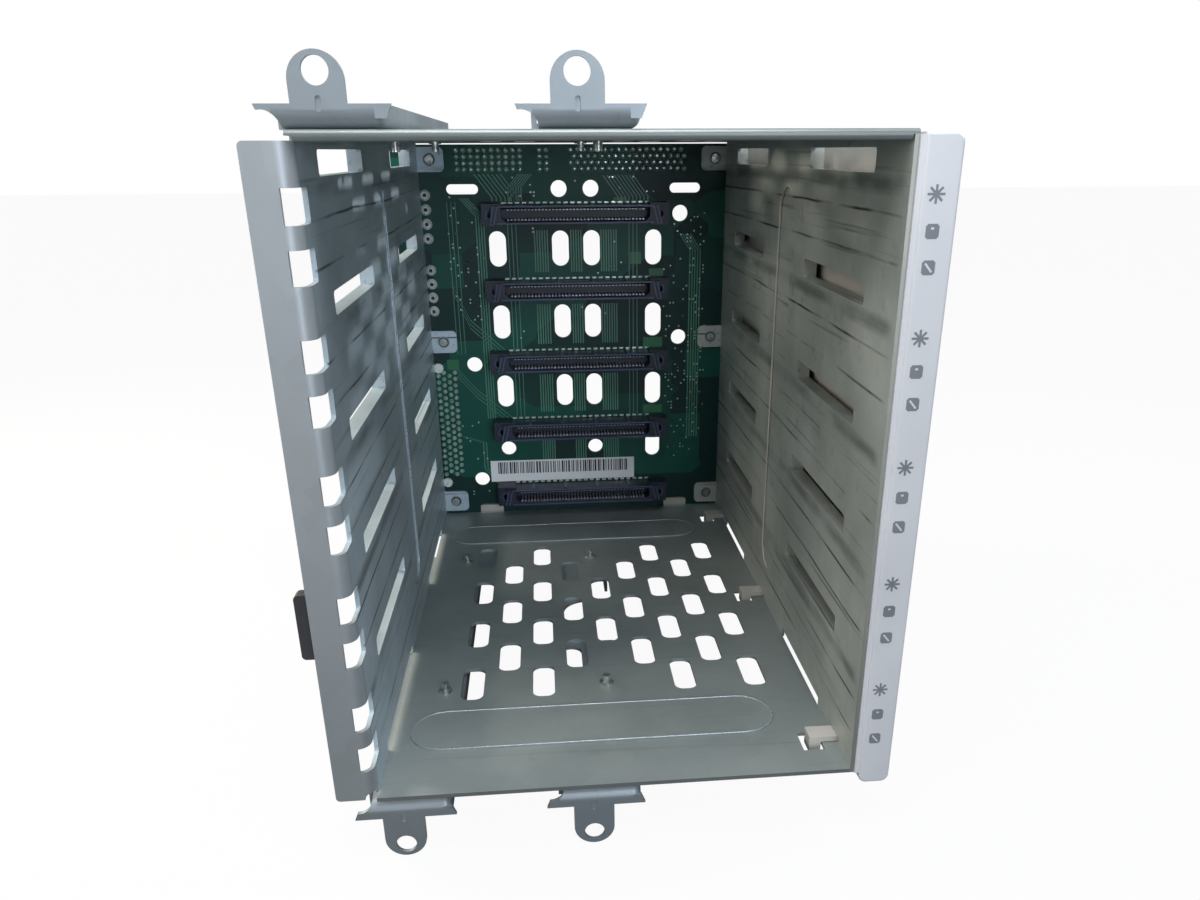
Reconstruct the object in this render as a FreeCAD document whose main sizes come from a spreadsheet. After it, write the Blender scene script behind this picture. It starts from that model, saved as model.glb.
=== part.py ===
import FreeCAD, Part
import math
import os
from types import SimpleNamespace

import Sketcher

# A sheet steel cage for five hot swap drives, empty, with its board at the back.
# Millimetres. X runs to the right, Y into the cage, Z up. Each body is drawn with
# X = 0 on the inside of the left wall, Y = 0 on the front plane and Z = 0 on the
# floor, and its Placement then puts the origin at the centre of the four ear holes.

SIZES = {
    "sheet": (1.0, "thickness of the steel sheet"),
    "bay_width": (113.0, "inside, wall to wall"),
    "bay_height": (142.0, "inside, floor to top"),
    "cage_depth": (185.0, "front plane to the board"),
    "bay_count": (5, "drives"),
    "bay_pitch": (27.2, "from one drive to the next"),
    "flange_reach": (9.2, "front flange of the left wall, outwards from the fold"),
    "flange_foot": (0.3, "the flange ends this far under the floor"),
    "flange_head": (0.8, "the flange ends this far under the top"),
    "flange_corner": (1.0, "corner radius of the flange"),
    "fold_radius": (3.0, "outside radius of the flange fold"),
    "relief_radius": (1.6, "relief at the foot of the flange fold"),
    "window_low": (10.5, "middle of the lowest flange window"),
    "window_step": (10.8, "from the lower to the upper window of a pair"),
    "window_height": (6.5, "flange window, upright"),
    "window_reach": (2.2, "flange window, outwards from the fold"),
    "window_depth": (8.4, "flange window, back along the wall"),
    "window_corner": (0.9, "corner radius of the flange windows"),
    "guide_low": (26.0, "lower edge of the lowest drive guide slot"),
    "guide_height": (5.0, "drive guide slot, upright"),
    "guide_front": (20.5, "front guide slots start here"),
    "guide_front_length": (50.0, "length of the front guide slots"),
    "guide_rear": (118.0, "rear guide slots start here"),
    "guide_rear_length": (46.0, "length of the rear guide slots"),
    "guide_corner": (1.0, "corner radius of the guide slots"),
    "lip_reach": (3.6, "guide slot lips, outwards from the inside of the wall"),
    "gutter_height": (2.2, "low slots at the foot of the wall, above the floor"),
    "gutter_shift": (1.5, "the low slots end this much ahead of the guides"),
    "gutter_lead": (8.0, "right wall: the low slots start this much behind the guides"),
    "bead_height": (0.45, "how far the pressed beads stand out"),
    "wall_bead_y": (91.5, "middle line of the wall bead"),
    "wall_bead_width": (15.0, "wall bead, across"),
    "wall_bead_low": (12.4, "lower end of the wall bead"),
    "wall_bead_length": (117.6, "wall bead, end to end"),
    "tab_reach": (9.4, "board tabs, inwards from the wall"),
    "tab_height": (8.4, "board tabs, upright"),
    "tab_corner": (1.8, "corner radius of the board tabs"),
    "tab_low": (5.6, "middle of the lowest board tab"),
    "tab_pitch": (65.5, "from one board tab to the next"),
    "tab_count": (3, "board tabs on each wall"),
    "screw_inset": (4.4, "board screws, inwards from the wall"),
    "screw_size": (3.0, "board screw, diameter"),
    "screw_head": (5.6, "board screw head, diameter"),
    "screw_head_height": (1.9, "board screw head, thickness"),
    "screw_end": (0.7, "the screw ends this far past the tab"),
    "shank_gap": (0.3, "gap round screws and rivets, on the radius"),
    "vent_width": (6.2, "vent slot, across"),
    "vent_length": (16.6, "vent slot, front to back"),
    "vent_corner": (2.4, "corner radius of the vent slots"),
    "vent_x": (19.3, "middle of the first vent column"),
    "vent_y": (48.6, "middle of the first vent row"),
    "vent_pitch_x": (9.95, "from one vent column to the next"),
    "vent_pitch_y": (29.4, "from one vent row to the next"),
    "floor_bead_x": (4.8, "floor beads start here"),
    "floor_bead_length": (94.8, "floor beads, end to end"),
    "floor_bead_front": (25.9, "middle line of the front floor bead"),
    "floor_bead_rear": (158.7, "middle line of the rear floor bead"),
    "floor_bead_width": (17.0, "floor beads, across"),
    "stop_left": (14.2, "left board stop starts here"),
    "stop_right": (90.6, "right board stop starts here"),
    "stop_width": (9.4, "board stops, across"),
    "stop_height": (3.5, "board stops, above the floor"),
    "hem_depth": (4.5, "front hem folded under the top"),
    "hem_gap": (0.3, "gap between the hem and the walls"),
    "hem_bend": (0.9, "outside radius of the hem's fold"),
    "ear_x": (5.6, "middle of the left ears"),
    "ear_spacing": (45.0, "from the left ears to the right ears"),
    "ear_hole": (4.8, "ear hole, diameter"),
    "ear_width": (9.7, "ear, across"),
    "ear_tip": (3.3, "from the hole's middle to the ear's tip"),
    "ear_rise_top": (9.3, "top ear hole above the top"),
    "ear_rise_bottom": (12.7, "bottom ear hole under the floor sheet"),
    "rail_left": (8.4, "rail, left of the ear's middle"),
    "rail_right": (11.4, "rail, right of the ear's middle"),
    "rail_length": (142.0, "rail, front to back"),
    "rail_depth_top": (4.1, "top rails stand this far off the top"),
    "rail_depth_bottom": (5.0, "bottom rails stand this far off the floor"),
    "rail_bend": (2.0, "outside radius of the bends along the rail's sides"),
    "apron_bend": (3.5, "outside radius of the bend up to the rail's front"),
    "apron_overhang": (1.8, "the rail's front reaches this much further left"),
    "apron_length": (5.0, "wide front part of the rail"),
    "apron_flare": (3.2, "radius that sweeps the front's left end outwards"),
    "apron_point": (1.0, "points at the ends of the front's free edge, outwards"),
    "apron_point_height": (2.4, "those points, upright"),
    "apron_root": (2.0, "those points are joined this far inside the front's ends"),
    "dart_width": (1.0, "stiffening dart at the root of the ear"),
    "dart_height": (2.6, "stiffening dart, upright"),
    "dart_depth": (0.4, "stiffening dart, depth"),
    "rail_window_inset": (2.6, "rail window, in from the rail's side walls"),
    "rail_window_front": (55.0, "rail window starts here"),
    "rail_window_length": (58.0, "rail window, front to back"),
    "rail_window_corner": (4.0, "corner radius of the rail window"),
    "foot_width": (6.1, "rear foot of the left rails, to the right"),
    "foot_front": (127.0, "the rear foot starts here"),
    "foot_length": (21.0, "the rear foot, front to back"),
    "foot_corner": (2.0, "corner radius of the rear foot"),
    "slot_left": (3.2, "long hole of the right rails, left of the ear's middle"),
    "slot_radius": (3.2, "half the width of that long hole"),
    "slot_front": (51.0, "the long hole starts here"),
    "slot_length": (18.0, "the long hole, front to back"),
    "waist_front": (72.0, "the right rails' waist starts here"),
    "waist_left": (4.6, "waist, starts this far left of the ear's middle"),
    "waist_length": (29.0, "waist, front to back"),
    "waist_corner": (8.0, "corner radius of the waist"),
    "waist_narrow": (4.9, "rear part of the waist, right of the ear's middle"),
    "waist_narrow_length": (44.5, "waist with its narrow rear part"),
    "rivet_x": (6.2, "rivets, right of the ear's middle"),
    "rivet_front": (45.3, "front rivets"),
    "rivet_step": (89.4, "from the front rivets to the rear ones"),
    "rivet_size": (2.2, "rivet shank, diameter"),
    "rivet_head": (5.0, "rivet heads outside, diameter"),
    "rivet_ring": (3.8, "rivet ends inside, diameter"),
    "rivet_head_height": (0.6, "rivet heads, thickness"),
    "rivet_pin": (2.8, "the broken mandrel stands this far off the panel"),
    "board_thick": (1.6, "circuit board"),
    "board_left": (9.5, "the board passes the left wall's inside by this much"),
    "board_right": (9.6, "the board passes the right wall's inside by this much"),
    "board_low": (-0.8, "lower edge of the board"),
    "board_high": (0.4, "the board ends this far under the top"),
    "board_corner": (2.0, "corner radius of the board"),
    "airway_width": (6.3, "oval airways in the board, across"),
    "airway_height": (12.9, "oval airways, upright"),
    "airway_low": (50.8, "middle of the lowest row of oval airways"),
    "airway_inner": (5.9, "inner airways, from the middle of the board"),
    "airway_outer": (29.4, "outer airways, from the middle of the board"),
    "hole_round": (5.9, "round holes in the board, diameter"),
    "tall_reach": (2.0, "tall hole in the board, from its middle to its round ends"),
    "hole_low": (27.2, "middle of the lowest row of holes"),
    "slot_wide": (11.6, "flat slots in the board, across"),
    "slot_high": (3.5, "flat slots in the board, upright"),
    "slot_z": (126.4, "middle of the flat slots"),
    "slot_spread": (41.2, "flat slots, from the middle of the board"),
    "port_right": (39.5, "right hand holes, from the middle of the board"),
    "port_left": (40.9, "left hand holes, from the middle of the board"),
    "port_high": (117.4, "upper right hand hole"),
    "port_mid": (71.0, "middle right hand hole"),
    "port_side": (61.8, "left hand hole"),
    "port_low": (14.4, "lowest left hand hole"),
    "socket_low": (9.0, "middle of the lowest drive socket"),
    "socket_width": (68.8, "drive socket, end to end"),
    "socket_reach": (9.0, "drive socket, off the board"),
    "socket_shroud": (62.0, "shroud between the ends, across"),
    "socket_shroud_height": (6.4, "shroud, upright"),
    "socket_end": (7.2, "end block, across"),
    "socket_height": (7.8, "end block, upright"),
    "socket_step": (1.6, "the end blocks stand back from the shroud by this much"),
    "socket_mouth": (54.4, "mouth of the socket, across"),
    "socket_mouth_height": (4.0, "mouth of the socket, upright"),
    "socket_mouth_depth": (7.0, "mouth of the socket, depth"),
    "socket_key": (1.2, "slanted lower corners of the mouth"),
    "socket_lead": (0.5, "lead-in chamfer round the mouth"),
    "socket_post_hole": (2.6, "guide hole in each end block"),
    "socket_post_depth": (5.0, "depth of the guide holes"),
    "header_depth": (11.0, "rear headers, off the board"),
    "header_wall": (1.5, "wall of the rear headers"),
    "header_cavity": (8.5, "depth of the rear headers' mouths"),
    "header_blade": (2.2, "contact tongue in the rear headers, thickness"),
    "header_height": (9.6, "rear headers, across the pin rows"),
    "header_corner": (1.2, "corner radius of the rear headers"),
    "side_header_x": (4.65, "middle of the upright header"),
    "side_header_z": (37.2, "middle of the upright header, up"),
    "wide_length": (53.0, "68 way headers, end to end"),
    "side_rivet_x": (1.55, "rivets of the upright header"),
    "side_rivet_step": (47.2, "between those rivets"),
    "top_header_z": (136.5, "middle of the headers along the top"),
    "wide_header_x": (75.6, "middle of the 68 way header at the top"),
    "narrow_header_x": (25.3, "middle of the 40 way header"),
    "narrow_length": (32.0, "40 way header, end to end"),
    "small_header_x": (45.45, "middle of the 8 way header"),
    "small_length": (6.6, "8 way header, end to end"),
    "power_x": (1.7, "row of the power pins"),
    "power_low": (82.68, "lowest power pin"),
    "power_pitch": (5.08, "from pin to pin"),
    "power_count": (4, "pins in a power header"),
    "power_step": (26.6, "from the lower power header to the upper one"),
    "power_pin": (2.1, "power pin, diameter"),
    "power_tail": (1.0, "the pins end this far in front of the board"),
    "power_width": (10.4, "power header, across"),
    "power_side": (3.1, "power header, past its end pins"),
    "strip_gap": (2.0, "from the right wall's inside to the front strip"),
    "strip_width": (7.5, "front strip, across"),
    "strip_front": (1.0, "the strip stands this far ahead of the front plane"),
    "strip_back": (3.0, "the strip ends this far behind the front plane"),
    "strip_low": (3.6, "the strip ends this far under the floor"),
    "strip_high": (0.4, "the strip rises this far over the bay height"),
    "strip_corner": (2.0, "corner radius of the strip"),
    "strip_edge": (0.6, "rounding of the strip's front edges"),
    "light_low": (9.2, "lowest light guide"),
    "light_step": (6.75, "between the three light guides of a drive"),
    "light_count": (3, "light guides for each drive"),
    "light_size": (1.8, "light guide, square"),
    "lamp_width": (3.0, "lamp on the board, across"),
    "lamp_height": (2.0, "lamp on the board, upright"),
    "lamp_depth": (2.0, "lamp on the board, off the board"),
    "carrier_gap": (5.6, "from the right wall's inside to the carrier"),
    "carrier_thick": (1.4, "light guide carrier"),
    "carrier_low": (3.0, "the carrier ends this far under the floor"),
    "carrier_high": (1.0, "the carrier ends this far under the top"),
    "carrier_back": (9.0, "the carrier ends this far ahead of the board"),
    "boss_size": (5.0, "spacer boss, diameter"),
    "boss_front": (12.0, "front spacer bosses"),
    "boss_step": (160.0, "from the front bosses to the rear ones"),
    "boss_low": (28.9, "lower spacer bosses"),
    "boss_rise": (81.6, "from the lower bosses to the upper ones"),
    "hook_first": (11.4, "front hook starts here"),
    "hook_second": (95.4, "middle hook starts here"),
    "hook_third": (167.8, "rear hook starts here"),
    "hook_width": (4.9, "carrier hook, front to back"),
    "hook_thick": (1.4, "carrier hook, thickness"),
    "hook_lift": (0.2, "gap between hook and floor"),
    "hook_reach": (7.0, "carrier hook, inwards from the wall"),
    "hook_drop": (3.0, "the hook's claw, across"),
    "hook_claw": (2.6, "the claw ends this far under the floor's top"),
    "hook_slot": (5.4, "floor slot under each hook, across"),
    "hook_slot_side": (2.1, "the floor slot reaches this far past the hook's end"),
    "hook_slot_length": (7.6, "floor slot under each hook, front to back"),
    "hook_slot_lead": (2.9, "the floor slot starts this much ahead of the hook"),
    "hook_gap": (0.3, "gap round the hooks in the wall"),
    "hook_passage_lead": (1.6, "the hook's passage starts this much ahead of it"),
    "lug_low": (37.0, "lower end of the side lug"),
    "lug_height": (15.5, "side lug, upright"),
    "lug_reach": (12.1, "side lug, outwards from the left wall's inside"),
    "lug_width": (8.2, "side lug, across"),
    "lug_depth": (3.0, "side lug, front to back"),
    "lug_corner": (1.0, "corner radius of the side lug"),
}


class Size:
    """A length as the text that binds it to the sheet, with its present value."""

    def __init__(self, text, value):
        self.text = text
        self.value = value

    def __add__(self, other):
        other = as_size(other)
        return Size("(" + self.text + " + " + other.text + ")", self.value + other.value)

    def __sub__(self, other):
        other = as_size(other)
        return Size("(" + self.text + " - " + other.text + ")", self.value - other.value)

    def __mul__(self, other):
        other = as_size(other)
        return Size(self.text + " * " + other.text, self.value * other.value)

    def __truediv__(self, other):
        other = as_size(other)
        return Size(self.text + " / " + other.text, self.value / other.value)

    def __neg__(self):
        return Size("(0 - " + self.text + ")", -self.value)


def as_size(number):
    if isinstance(number, Size):
        return number
    return Size(str(number), number)


doc = FreeCAD.newDocument("DriveCage")
sheet = doc.addObject("Spreadsheet::Sheet", "Sizes")
for row, (alias, (number, note)) in enumerate(SIZES.items(), start=1):
    sheet.set("A" + str(row), note)
    sheet.set("B" + str(row), str(number))
    sheet.setAlias("B" + str(row), alias)
doc.recompute()
S = SimpleNamespace(**{alias: Size("Sizes." + alias, sheet.get(alias)) for alias in SIZES})
ZERO = as_size(0)
CLOSE = 1e-4
TINY = 1e-6

TOP = S.bay_height + S.sheet
UNDER = -S.sheet
BOARD_BACK = S.cage_depth + S.board_thick
MIDDLE = S.bay_width / 2
EARS = (S.ear_x, S.ear_x + S.ear_spacing)
CLAWS = (S.hook_first, S.hook_second, S.hook_third)
ORIGIN_X = S.ear_x + S.ear_spacing / 2
ORIGIN_Z = (TOP + S.ear_rise_top + UNDER - S.ear_rise_bottom) / 2

parts = []


def bind(feature, name, size):
    """Set a property and tie it to the sheet."""
    size = as_size(size)
    if "." not in name:
        setattr(feature, name, size.value)
    feature.setExpression(name, size.text)


def new_body(name):
    body = doc.addObject("PartDesign::Body", name)
    body.Label = name
    bind(body, "Placement.Base.x", -ORIGIN_X)
    bind(body, "Placement.Base.z", -ORIGIN_Z)
    parts.append(body)
    return body


PLANES = {"across": "XZ_Plane", "along": "YZ_Plane", "flat": "XY_Plane"}


def new_sketch(body, name, plane, level):
    """A sketch on a plane of the body: across faces Y, along faces X, flat faces Z."""
    drawing = body.newObject("Sketcher::SketchObject", body.Name + "_" + name)
    role = PLANES[plane]
    origin = [item for item in body.Origin.OriginFeatures if item.Role == role][0]
    drawing.AttachmentSupport = [(origin, "")]
    drawing.MapMode = "FlatFace"
    level = as_size(level)
    bind(drawing, "AttachmentOffset.Base.z", -level if plane == "across" else level)
    return drawing


def hold(drawing, shape, point, x, y):
    """Keep one point of a drawing at x, y."""
    for kind, size in (("DistanceX", as_size(x)), ("DistanceY", as_size(y))):
        index = drawing.addConstraint(
            Sketcher.Constraint(kind, -1, 1, shape, point, size.value))
        drawing.setExpression("Constraints[" + str(index) + "]", size.text)


def hold_radius(drawing, shape, radius):
    radius = as_size(radius)
    index = drawing.addConstraint(Sketcher.Constraint("Radius", shape, radius.value))
    drawing.setExpression("Constraints[" + str(index) + "]", radius.text)


def vector(x, y):
    return FreeCAD.Vector(as_size(x).value, as_size(y).value, 0)


def draw_outline(drawing, points):
    """A closed outline of straight lines through the given corners."""
    first = drawing.GeometryCount
    count = len(points)
    for index in range(count):
        start = vector(*points[index])
        end = vector(*points[(index + 1) % count])
        drawing.addGeometry(Part.LineSegment(start, end), False)
    for index in range(count):
        after = first + (index + 1) % count
        drawing.addConstraint(Sketcher.Constraint("Coincident", first + index, 2, after, 1))
    for index, (x, y) in enumerate(points):
        hold(drawing, first + index, 1, x, y)


def draw_rectangle(drawing, x0, y0, x1, y1):
    first = drawing.GeometryCount
    corners = [vector(x0, y0), vector(x1, y0), vector(x1, y1), vector(x0, y1)]
    for index in range(4):
        line = Part.LineSegment(corners[index], corners[(index + 1) % 4])
        drawing.addGeometry(line, False)
    for index in range(4):
        after = first + (index + 1) % 4
        drawing.addConstraint(Sketcher.Constraint("Coincident", first + index, 2, after, 1))
    for index in (0, 2):
        drawing.addConstraint(Sketcher.Constraint("Horizontal", first + index))
        drawing.addConstraint(Sketcher.Constraint("Vertical", first + index + 1))
    hold(drawing, first, 1, x0, y0)
    hold(drawing, first + 2, 1, x1, y1)


def draw_rounded(drawing, x0, y0, x1, y1, radius):
    """A rectangle with four equal round corners."""
    first = drawing.GeometryCount
    left, low = as_size(x0).value, as_size(y0).value
    right, high = as_size(x1).value, as_size(y1).value
    r = as_size(radius).value
    quarter = math.pi / 2
    up = FreeCAD.Vector(0, 0, 1)
    sides = [((left + r, low), (right - r, low)), ((right, low + r), (right, high - r)),
             ((right - r, high), (left + r, high)), ((left, high - r), (left, low + r))]
    middles = [(right - r, low + r), (right - r, high - r),
               (left + r, high - r), (left + r, low + r)]
    for index in range(4):
        (ax, ay), (bx, by) = sides[index]
        drawing.addGeometry(Part.LineSegment(
            FreeCAD.Vector(ax, ay, 0), FreeCAD.Vector(bx, by, 0)), False)
        cx, cy = middles[index]
        ring = Part.Circle(FreeCAD.Vector(cx, cy, 0), up, r)
        begin = (index - 1) * quarter
        drawing.addGeometry(Part.ArcOfCircle(ring, begin, begin + quarter), False)
    for index in range(4):
        line = first + 2 * index
        after = first + (2 * index + 2) % 8
        drawing.addConstraint(Sketcher.Constraint("Tangent", line, 2, line + 1, 1))
        drawing.addConstraint(Sketcher.Constraint("Tangent", line + 1, 2, after, 1))
    for index in (1, 2, 3):
        drawing.addConstraint(Sketcher.Constraint("Equal", first + 1, first + 1 + 2 * index))
    for index in (0, 2):
        drawing.addConstraint(Sketcher.Constraint("Horizontal", first + 2 * index))
        drawing.addConstraint(Sketcher.Constraint("Vertical", first + 2 * index + 2))
    hold_radius(drawing, first + 1, radius)
    hold(drawing, first + 7, 3, as_size(x0) + radius, as_size(y0) + radius)
    hold(drawing, first + 3, 3, as_size(x1) - radius, as_size(y1) - radius)


def draw_obround(drawing, x0, y0, x1, y1, radius):
    """A long hole whose two round ends have their middles at the two points."""
    first = drawing.GeometryCount
    start, end = vector(x0, y0), vector(x1, y1)
    r = as_size(radius).value
    run = end - start
    side = FreeCAD.Vector(-run.y, run.x, 0).normalize() * r
    angle = run.getAngle(FreeCAD.Vector(1, 0, 0))
    half = math.pi / 2
    up = FreeCAD.Vector(0, 0, 1)
    drawing.addGeometry(Part.LineSegment(start - side, end - side), False)
    drawing.addGeometry(Part.ArcOfCircle(
        Part.Circle(end, up, r), angle - half, angle + half), False)
    drawing.addGeometry(Part.LineSegment(end + side, start + side), False)
    drawing.addGeometry(Part.ArcOfCircle(
        Part.Circle(start, up, r), angle + half, angle + 3 * half), False)
    for index in range(4):
        after = first + (index + 1) % 4
        drawing.addConstraint(Sketcher.Constraint("Tangent", first + index, 2, after, 1))
    drawing.addConstraint(Sketcher.Constraint("Equal", first + 1, first + 3))
    hold_radius(drawing, first + 1, radius)
    hold(drawing, first + 3, 3, x0, y0)
    hold(drawing, first + 1, 3, x1, y1)


def draw_circle(drawing, x, y, size):
    """A circle of the given diameter."""
    radius = as_size(size) / 2
    circle = Part.Circle(vector(x, y), FreeCAD.Vector(0, 0, 1), radius.value)
    index = drawing.addGeometry(circle, False)
    hold(drawing, index, 3, x, y)
    hold_radius(drawing, index, radius)


def add(body, name, plane, near, far, draw):
    """Pad what draw() draws, from the level near to the level far along the axis."""
    drawing = new_sketch(body, name + "_outline", plane, near)
    draw(drawing)
    feature = body.newObject("PartDesign::Pad", body.Name + "_" + name)
    feature.Profile = drawing
    bind(feature, "Length", as_size(far) - near)
    feature.Reversed = plane == "across"
    drawing.Visibility = False
    body.Tip = feature
    doc.recompute()
    return feature


def cut(body, name, plane, near, far, draw):
    """Cut what draw() draws, from the level near to the level far along the axis."""
    before = body.Shape.Volume
    drawing = new_sketch(body, name + "_outline", plane, near)
    draw(drawing)
    feature = body.newObject("PartDesign::Pocket", body.Name + "_" + name)
    feature.Profile = drawing
    feature.Type = "Length"
    bind(feature, "Length", as_size(far) - near)
    feature.Reversed = plane != "across"
    drawing.Visibility = False
    body.Tip = feature
    doc.recompute()
    if body.Shape.Volume > before - TINY:
        raise RuntimeError("nothing was cut by " + feature.Name)
    return feature


def repeat(body, feature, steps):
    """Repeat a feature along its sketch's axes: steps are (axis, pitch, count)."""
    pattern = body.newObject("PartDesign::LinearPattern", feature.Name + "_row")
    pattern.Originals = [feature]
    drawing = feature.Profile[0]
    for tail, (axis, pitch, count) in zip(("", "2"), steps):
        setattr(pattern, "Direction" + tail, (drawing, [axis]))
        bind(pattern, "Length" + tail, pitch * (as_size(count) - 1))
        bind(pattern, "Occurrences" + tail, count)
    body.Tip = pattern
    doc.recompute()
    return pattern


def edges_along(body, axis, places):
    """Names of the straight edges along an axis that pass through given places.

    Each place is a dictionary of the other coordinates, such as {"x": 0, "z": 1}.
    """
    found = []
    shape = body.Tip.Shape
    for number, edge in enumerate(shape.Edges, start=1):
        if edge.Curve.TypeId != "Part::GeomLine":
            continue
        run = edge.Vertexes[-1].Point - edge.Vertexes[0].Point
        if abs(getattr(run, axis)) < run.Length - TINY:
            continue
        middle = (edge.Vertexes[-1].Point + edge.Vertexes[0].Point) * 0.5
        for place in places:
            near = [abs(getattr(middle, key) - as_size(value).value) < CLOSE
                    for key, value in place.items()]
            if all(near):
                found.append("Edge" + str(number))
                break
    if not found:
        raise RuntimeError("no edge found on " + body.Name)
    return found


def round_edges(body, name, edges, radius):
    base = body.Tip
    feature = body.newObject("PartDesign::Fillet", body.Name + "_" + name)
    feature.Base = (base, edges)
    bind(feature, "Radius", radius)
    body.Tip = feature
    doc.recompute()
    return feature


def bevel_edges(body, name, edges, size):
    base = body.Tip
    feature = body.newObject("PartDesign::Chamfer", body.Name + "_" + name)
    feature.Base = (base, edges)
    bind(feature, "Size", size)
    body.Tip = feature
    doc.recompute()
    return feature


# Side walls. "out" is measured outwards from the inside face of the wall.

def out_left(distance):
    return -as_size(distance)


def out_right(distance):
    return S.bay_width + distance


def ordered(a, b):
    a, b = as_size(a), as_size(b)
    return (a, b) if a.value < b.value else (b, a)


def guide_columns():
    return ((S.guide_front, S.guide_front_length), (S.guide_rear, S.guide_rear_length))


def side_wall(name, out, lead):
    """A wall with drive guides, low slots, a pressed bead and three board tabs.

    The low slots start behind the guide slots above them by lead.
    """
    body = new_body(name)
    inner, outer = ordered(out(0), out(S.sheet))
    add(body, "plate", "flat", UNDER, S.bay_height,
        lambda d: draw_rectangle(d, inner, 0, outer, S.cage_depth))

    def guides(d):
        for start, length in guide_columns():
            draw_rounded(d, start, S.guide_low, start + length,
                         S.guide_low + S.guide_height, S.guide_corner)
    slots = cut(body, "guides", "along", inner, outer, guides)
    repeat(body, slots, [("V_Axis", S.bay_pitch, S.bay_count)])

    def lips(d):
        low = S.guide_low - S.sheet
        high = S.guide_low + S.guide_height
        for start, length in guide_columns():
            end = start + length
            draw_outline(d, [
                (start + S.guide_corner, low), (end + S.sheet, low), (end + S.sheet, high),
                (end, high), (end, S.guide_low), (start + S.guide_corner, S.guide_low)])
    edge = add(body, "lips", "along", *ordered(out(S.sheet), out(S.lip_reach)), lips)
    repeat(body, edge, [("V_Axis", S.bay_pitch, S.bay_count)])

    def gutters(d):
        for start, length in guide_columns():
            draw_rectangle(d, start + lead, UNDER,
                           start + length - S.gutter_shift, S.gutter_height)
    cut(body, "gutters", "along", inner, outer, gutters)

    def bead(d):
        radius = S.wall_bead_width / 2
        draw_obround(d, S.wall_bead_y, S.wall_bead_low + radius, S.wall_bead_y,
                     S.wall_bead_low + S.wall_bead_length - radius, radius)
    cut(body, "bead_hollow", "along", *ordered(out(0), out(S.bead_height)), bead)
    add(body, "bead_back", "along", *ordered(out(S.sheet), out(S.sheet + S.bead_height)), bead)

    reach0, reach1 = ordered(out(0), out(-S.tab_reach))
    half = S.tab_height / 2
    front = S.cage_depth - S.sheet
    tab = add(body, "tab", "across", front, S.cage_depth,
              lambda d: draw_rectangle(d, reach0, S.tab_low - half, reach1, S.tab_low + half))
    repeat(body, tab, [("V_Axis", S.tab_pitch, S.tab_count)])
    hole = cut(body, "tab_hole", "across", front, S.cage_depth,
               lambda d: draw_circle(d, out(-S.screw_inset), S.tab_low,
                                     S.screw_size + S.shank_gap * 2))
    repeat(body, hole, [("V_Axis", S.tab_pitch, S.tab_count)])
    round_edges(body, "tab_corners",
                edges_along(body, "y", [{"x": out(-S.tab_reach)}]), S.tab_corner)
    return body


left = side_wall("left_side_wall", out_left, -S.gutter_shift)
FLANGE_TOP = S.bay_height - S.flange_head
add(left, "flange", "flat", -S.flange_foot, FLANGE_TOP,
    lambda d: draw_rectangle(d, -S.flange_reach, 0, -S.sheet, S.sheet))
round_edges(left, "flange_corners",
            edges_along(left, "y", [{"x": -S.flange_reach}]), S.flange_corner)


def fold_ends(d):
    draw_rectangle(d, 0, UNDER, S.fold_radius + S.sheet, -S.flange_foot)
    draw_rectangle(d, 0, FLANGE_TOP, S.fold_radius + S.sheet, S.bay_height)


cut(left, "fold_ends", "along", -S.sheet, 0, fold_ends)
round_edges(left, "fold", edges_along(left, "z", [{"x": ZERO, "y": ZERO}]), S.fold_radius)
round_edges(left, "fold_inside", edges_along(left, "z", [{"x": -S.sheet, "y": S.sheet}]),
            S.fold_radius - S.sheet)


def window_rows():
    half = S.window_height / 2
    for middle in (S.window_low, S.window_low + S.window_step):
        yield middle - half, middle + half


def windows_in_flange(d):
    for low, high in window_rows():
        draw_rounded(d, -S.window_reach, low, S.window_reach, high, S.window_corner)


def windows_in_wall(d):
    for low, high in window_rows():
        draw_rounded(d, -S.window_depth, low, S.window_depth, high, S.window_corner)


windows = cut(left, "windows_in_flange", "across", 0, S.fold_radius, windows_in_flange)
repeat(left, windows, [("V_Axis", S.bay_pitch, S.bay_count)])
windows = cut(left, "windows_in_wall", "along", -S.fold_radius, 0, windows_in_wall)
repeat(left, windows, [("V_Axis", S.bay_pitch, S.bay_count)])
cut(left, "relief", "across", 0, S.fold_radius + S.sheet,
    lambda d: draw_circle(d, -S.sheet, -S.flange_foot, S.relief_radius * 2))

right = side_wall("right_side_wall", out_right, S.gutter_lead)


def hook_passages(d):
    for start in CLAWS:
        draw_rectangle(d, start - S.hook_passage_lead, 0, start + S.hook_width + S.hook_gap,
                       S.hook_lift + S.hook_thick + S.hook_gap)


cut(right, "hook_passages", "along", S.bay_width, S.bay_width + S.sheet, hook_passages)


# Floor and top, with the same field of vent slots.

def vents(body, low, high):
    """Nine staggered columns; the middle one leaves its end slots to the rivets."""
    column = S.vent_pitch_x
    line = S.vent_pitch_y
    blocks = [("vents_inner", 0, 1, column * 2, 5, line, 2),
              ("vents_left", 0, 0, column * 2, 2, line * 3, 2),
              ("vents_right", 6, 0, column * 2, 2, line * 3, 2),
              ("vents_between", 1, 0.5, column * 2, 4, line, 3)]
    for name, across, back, step_x, count_x, step_y, count_y in blocks:
        x = S.vent_x + column * across
        y = S.vent_y + line * back
        slot = cut(body, name, "flat", low, high,
                   lambda d: draw_rounded(d, x - S.vent_width / 2, y - S.vent_length / 2,
                                          x + S.vent_width / 2, y + S.vent_length / 2,
                                          S.vent_corner))
        repeat(body, slot, [("H_Axis", step_x, count_x), ("V_Axis", step_y, count_y)])


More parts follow.
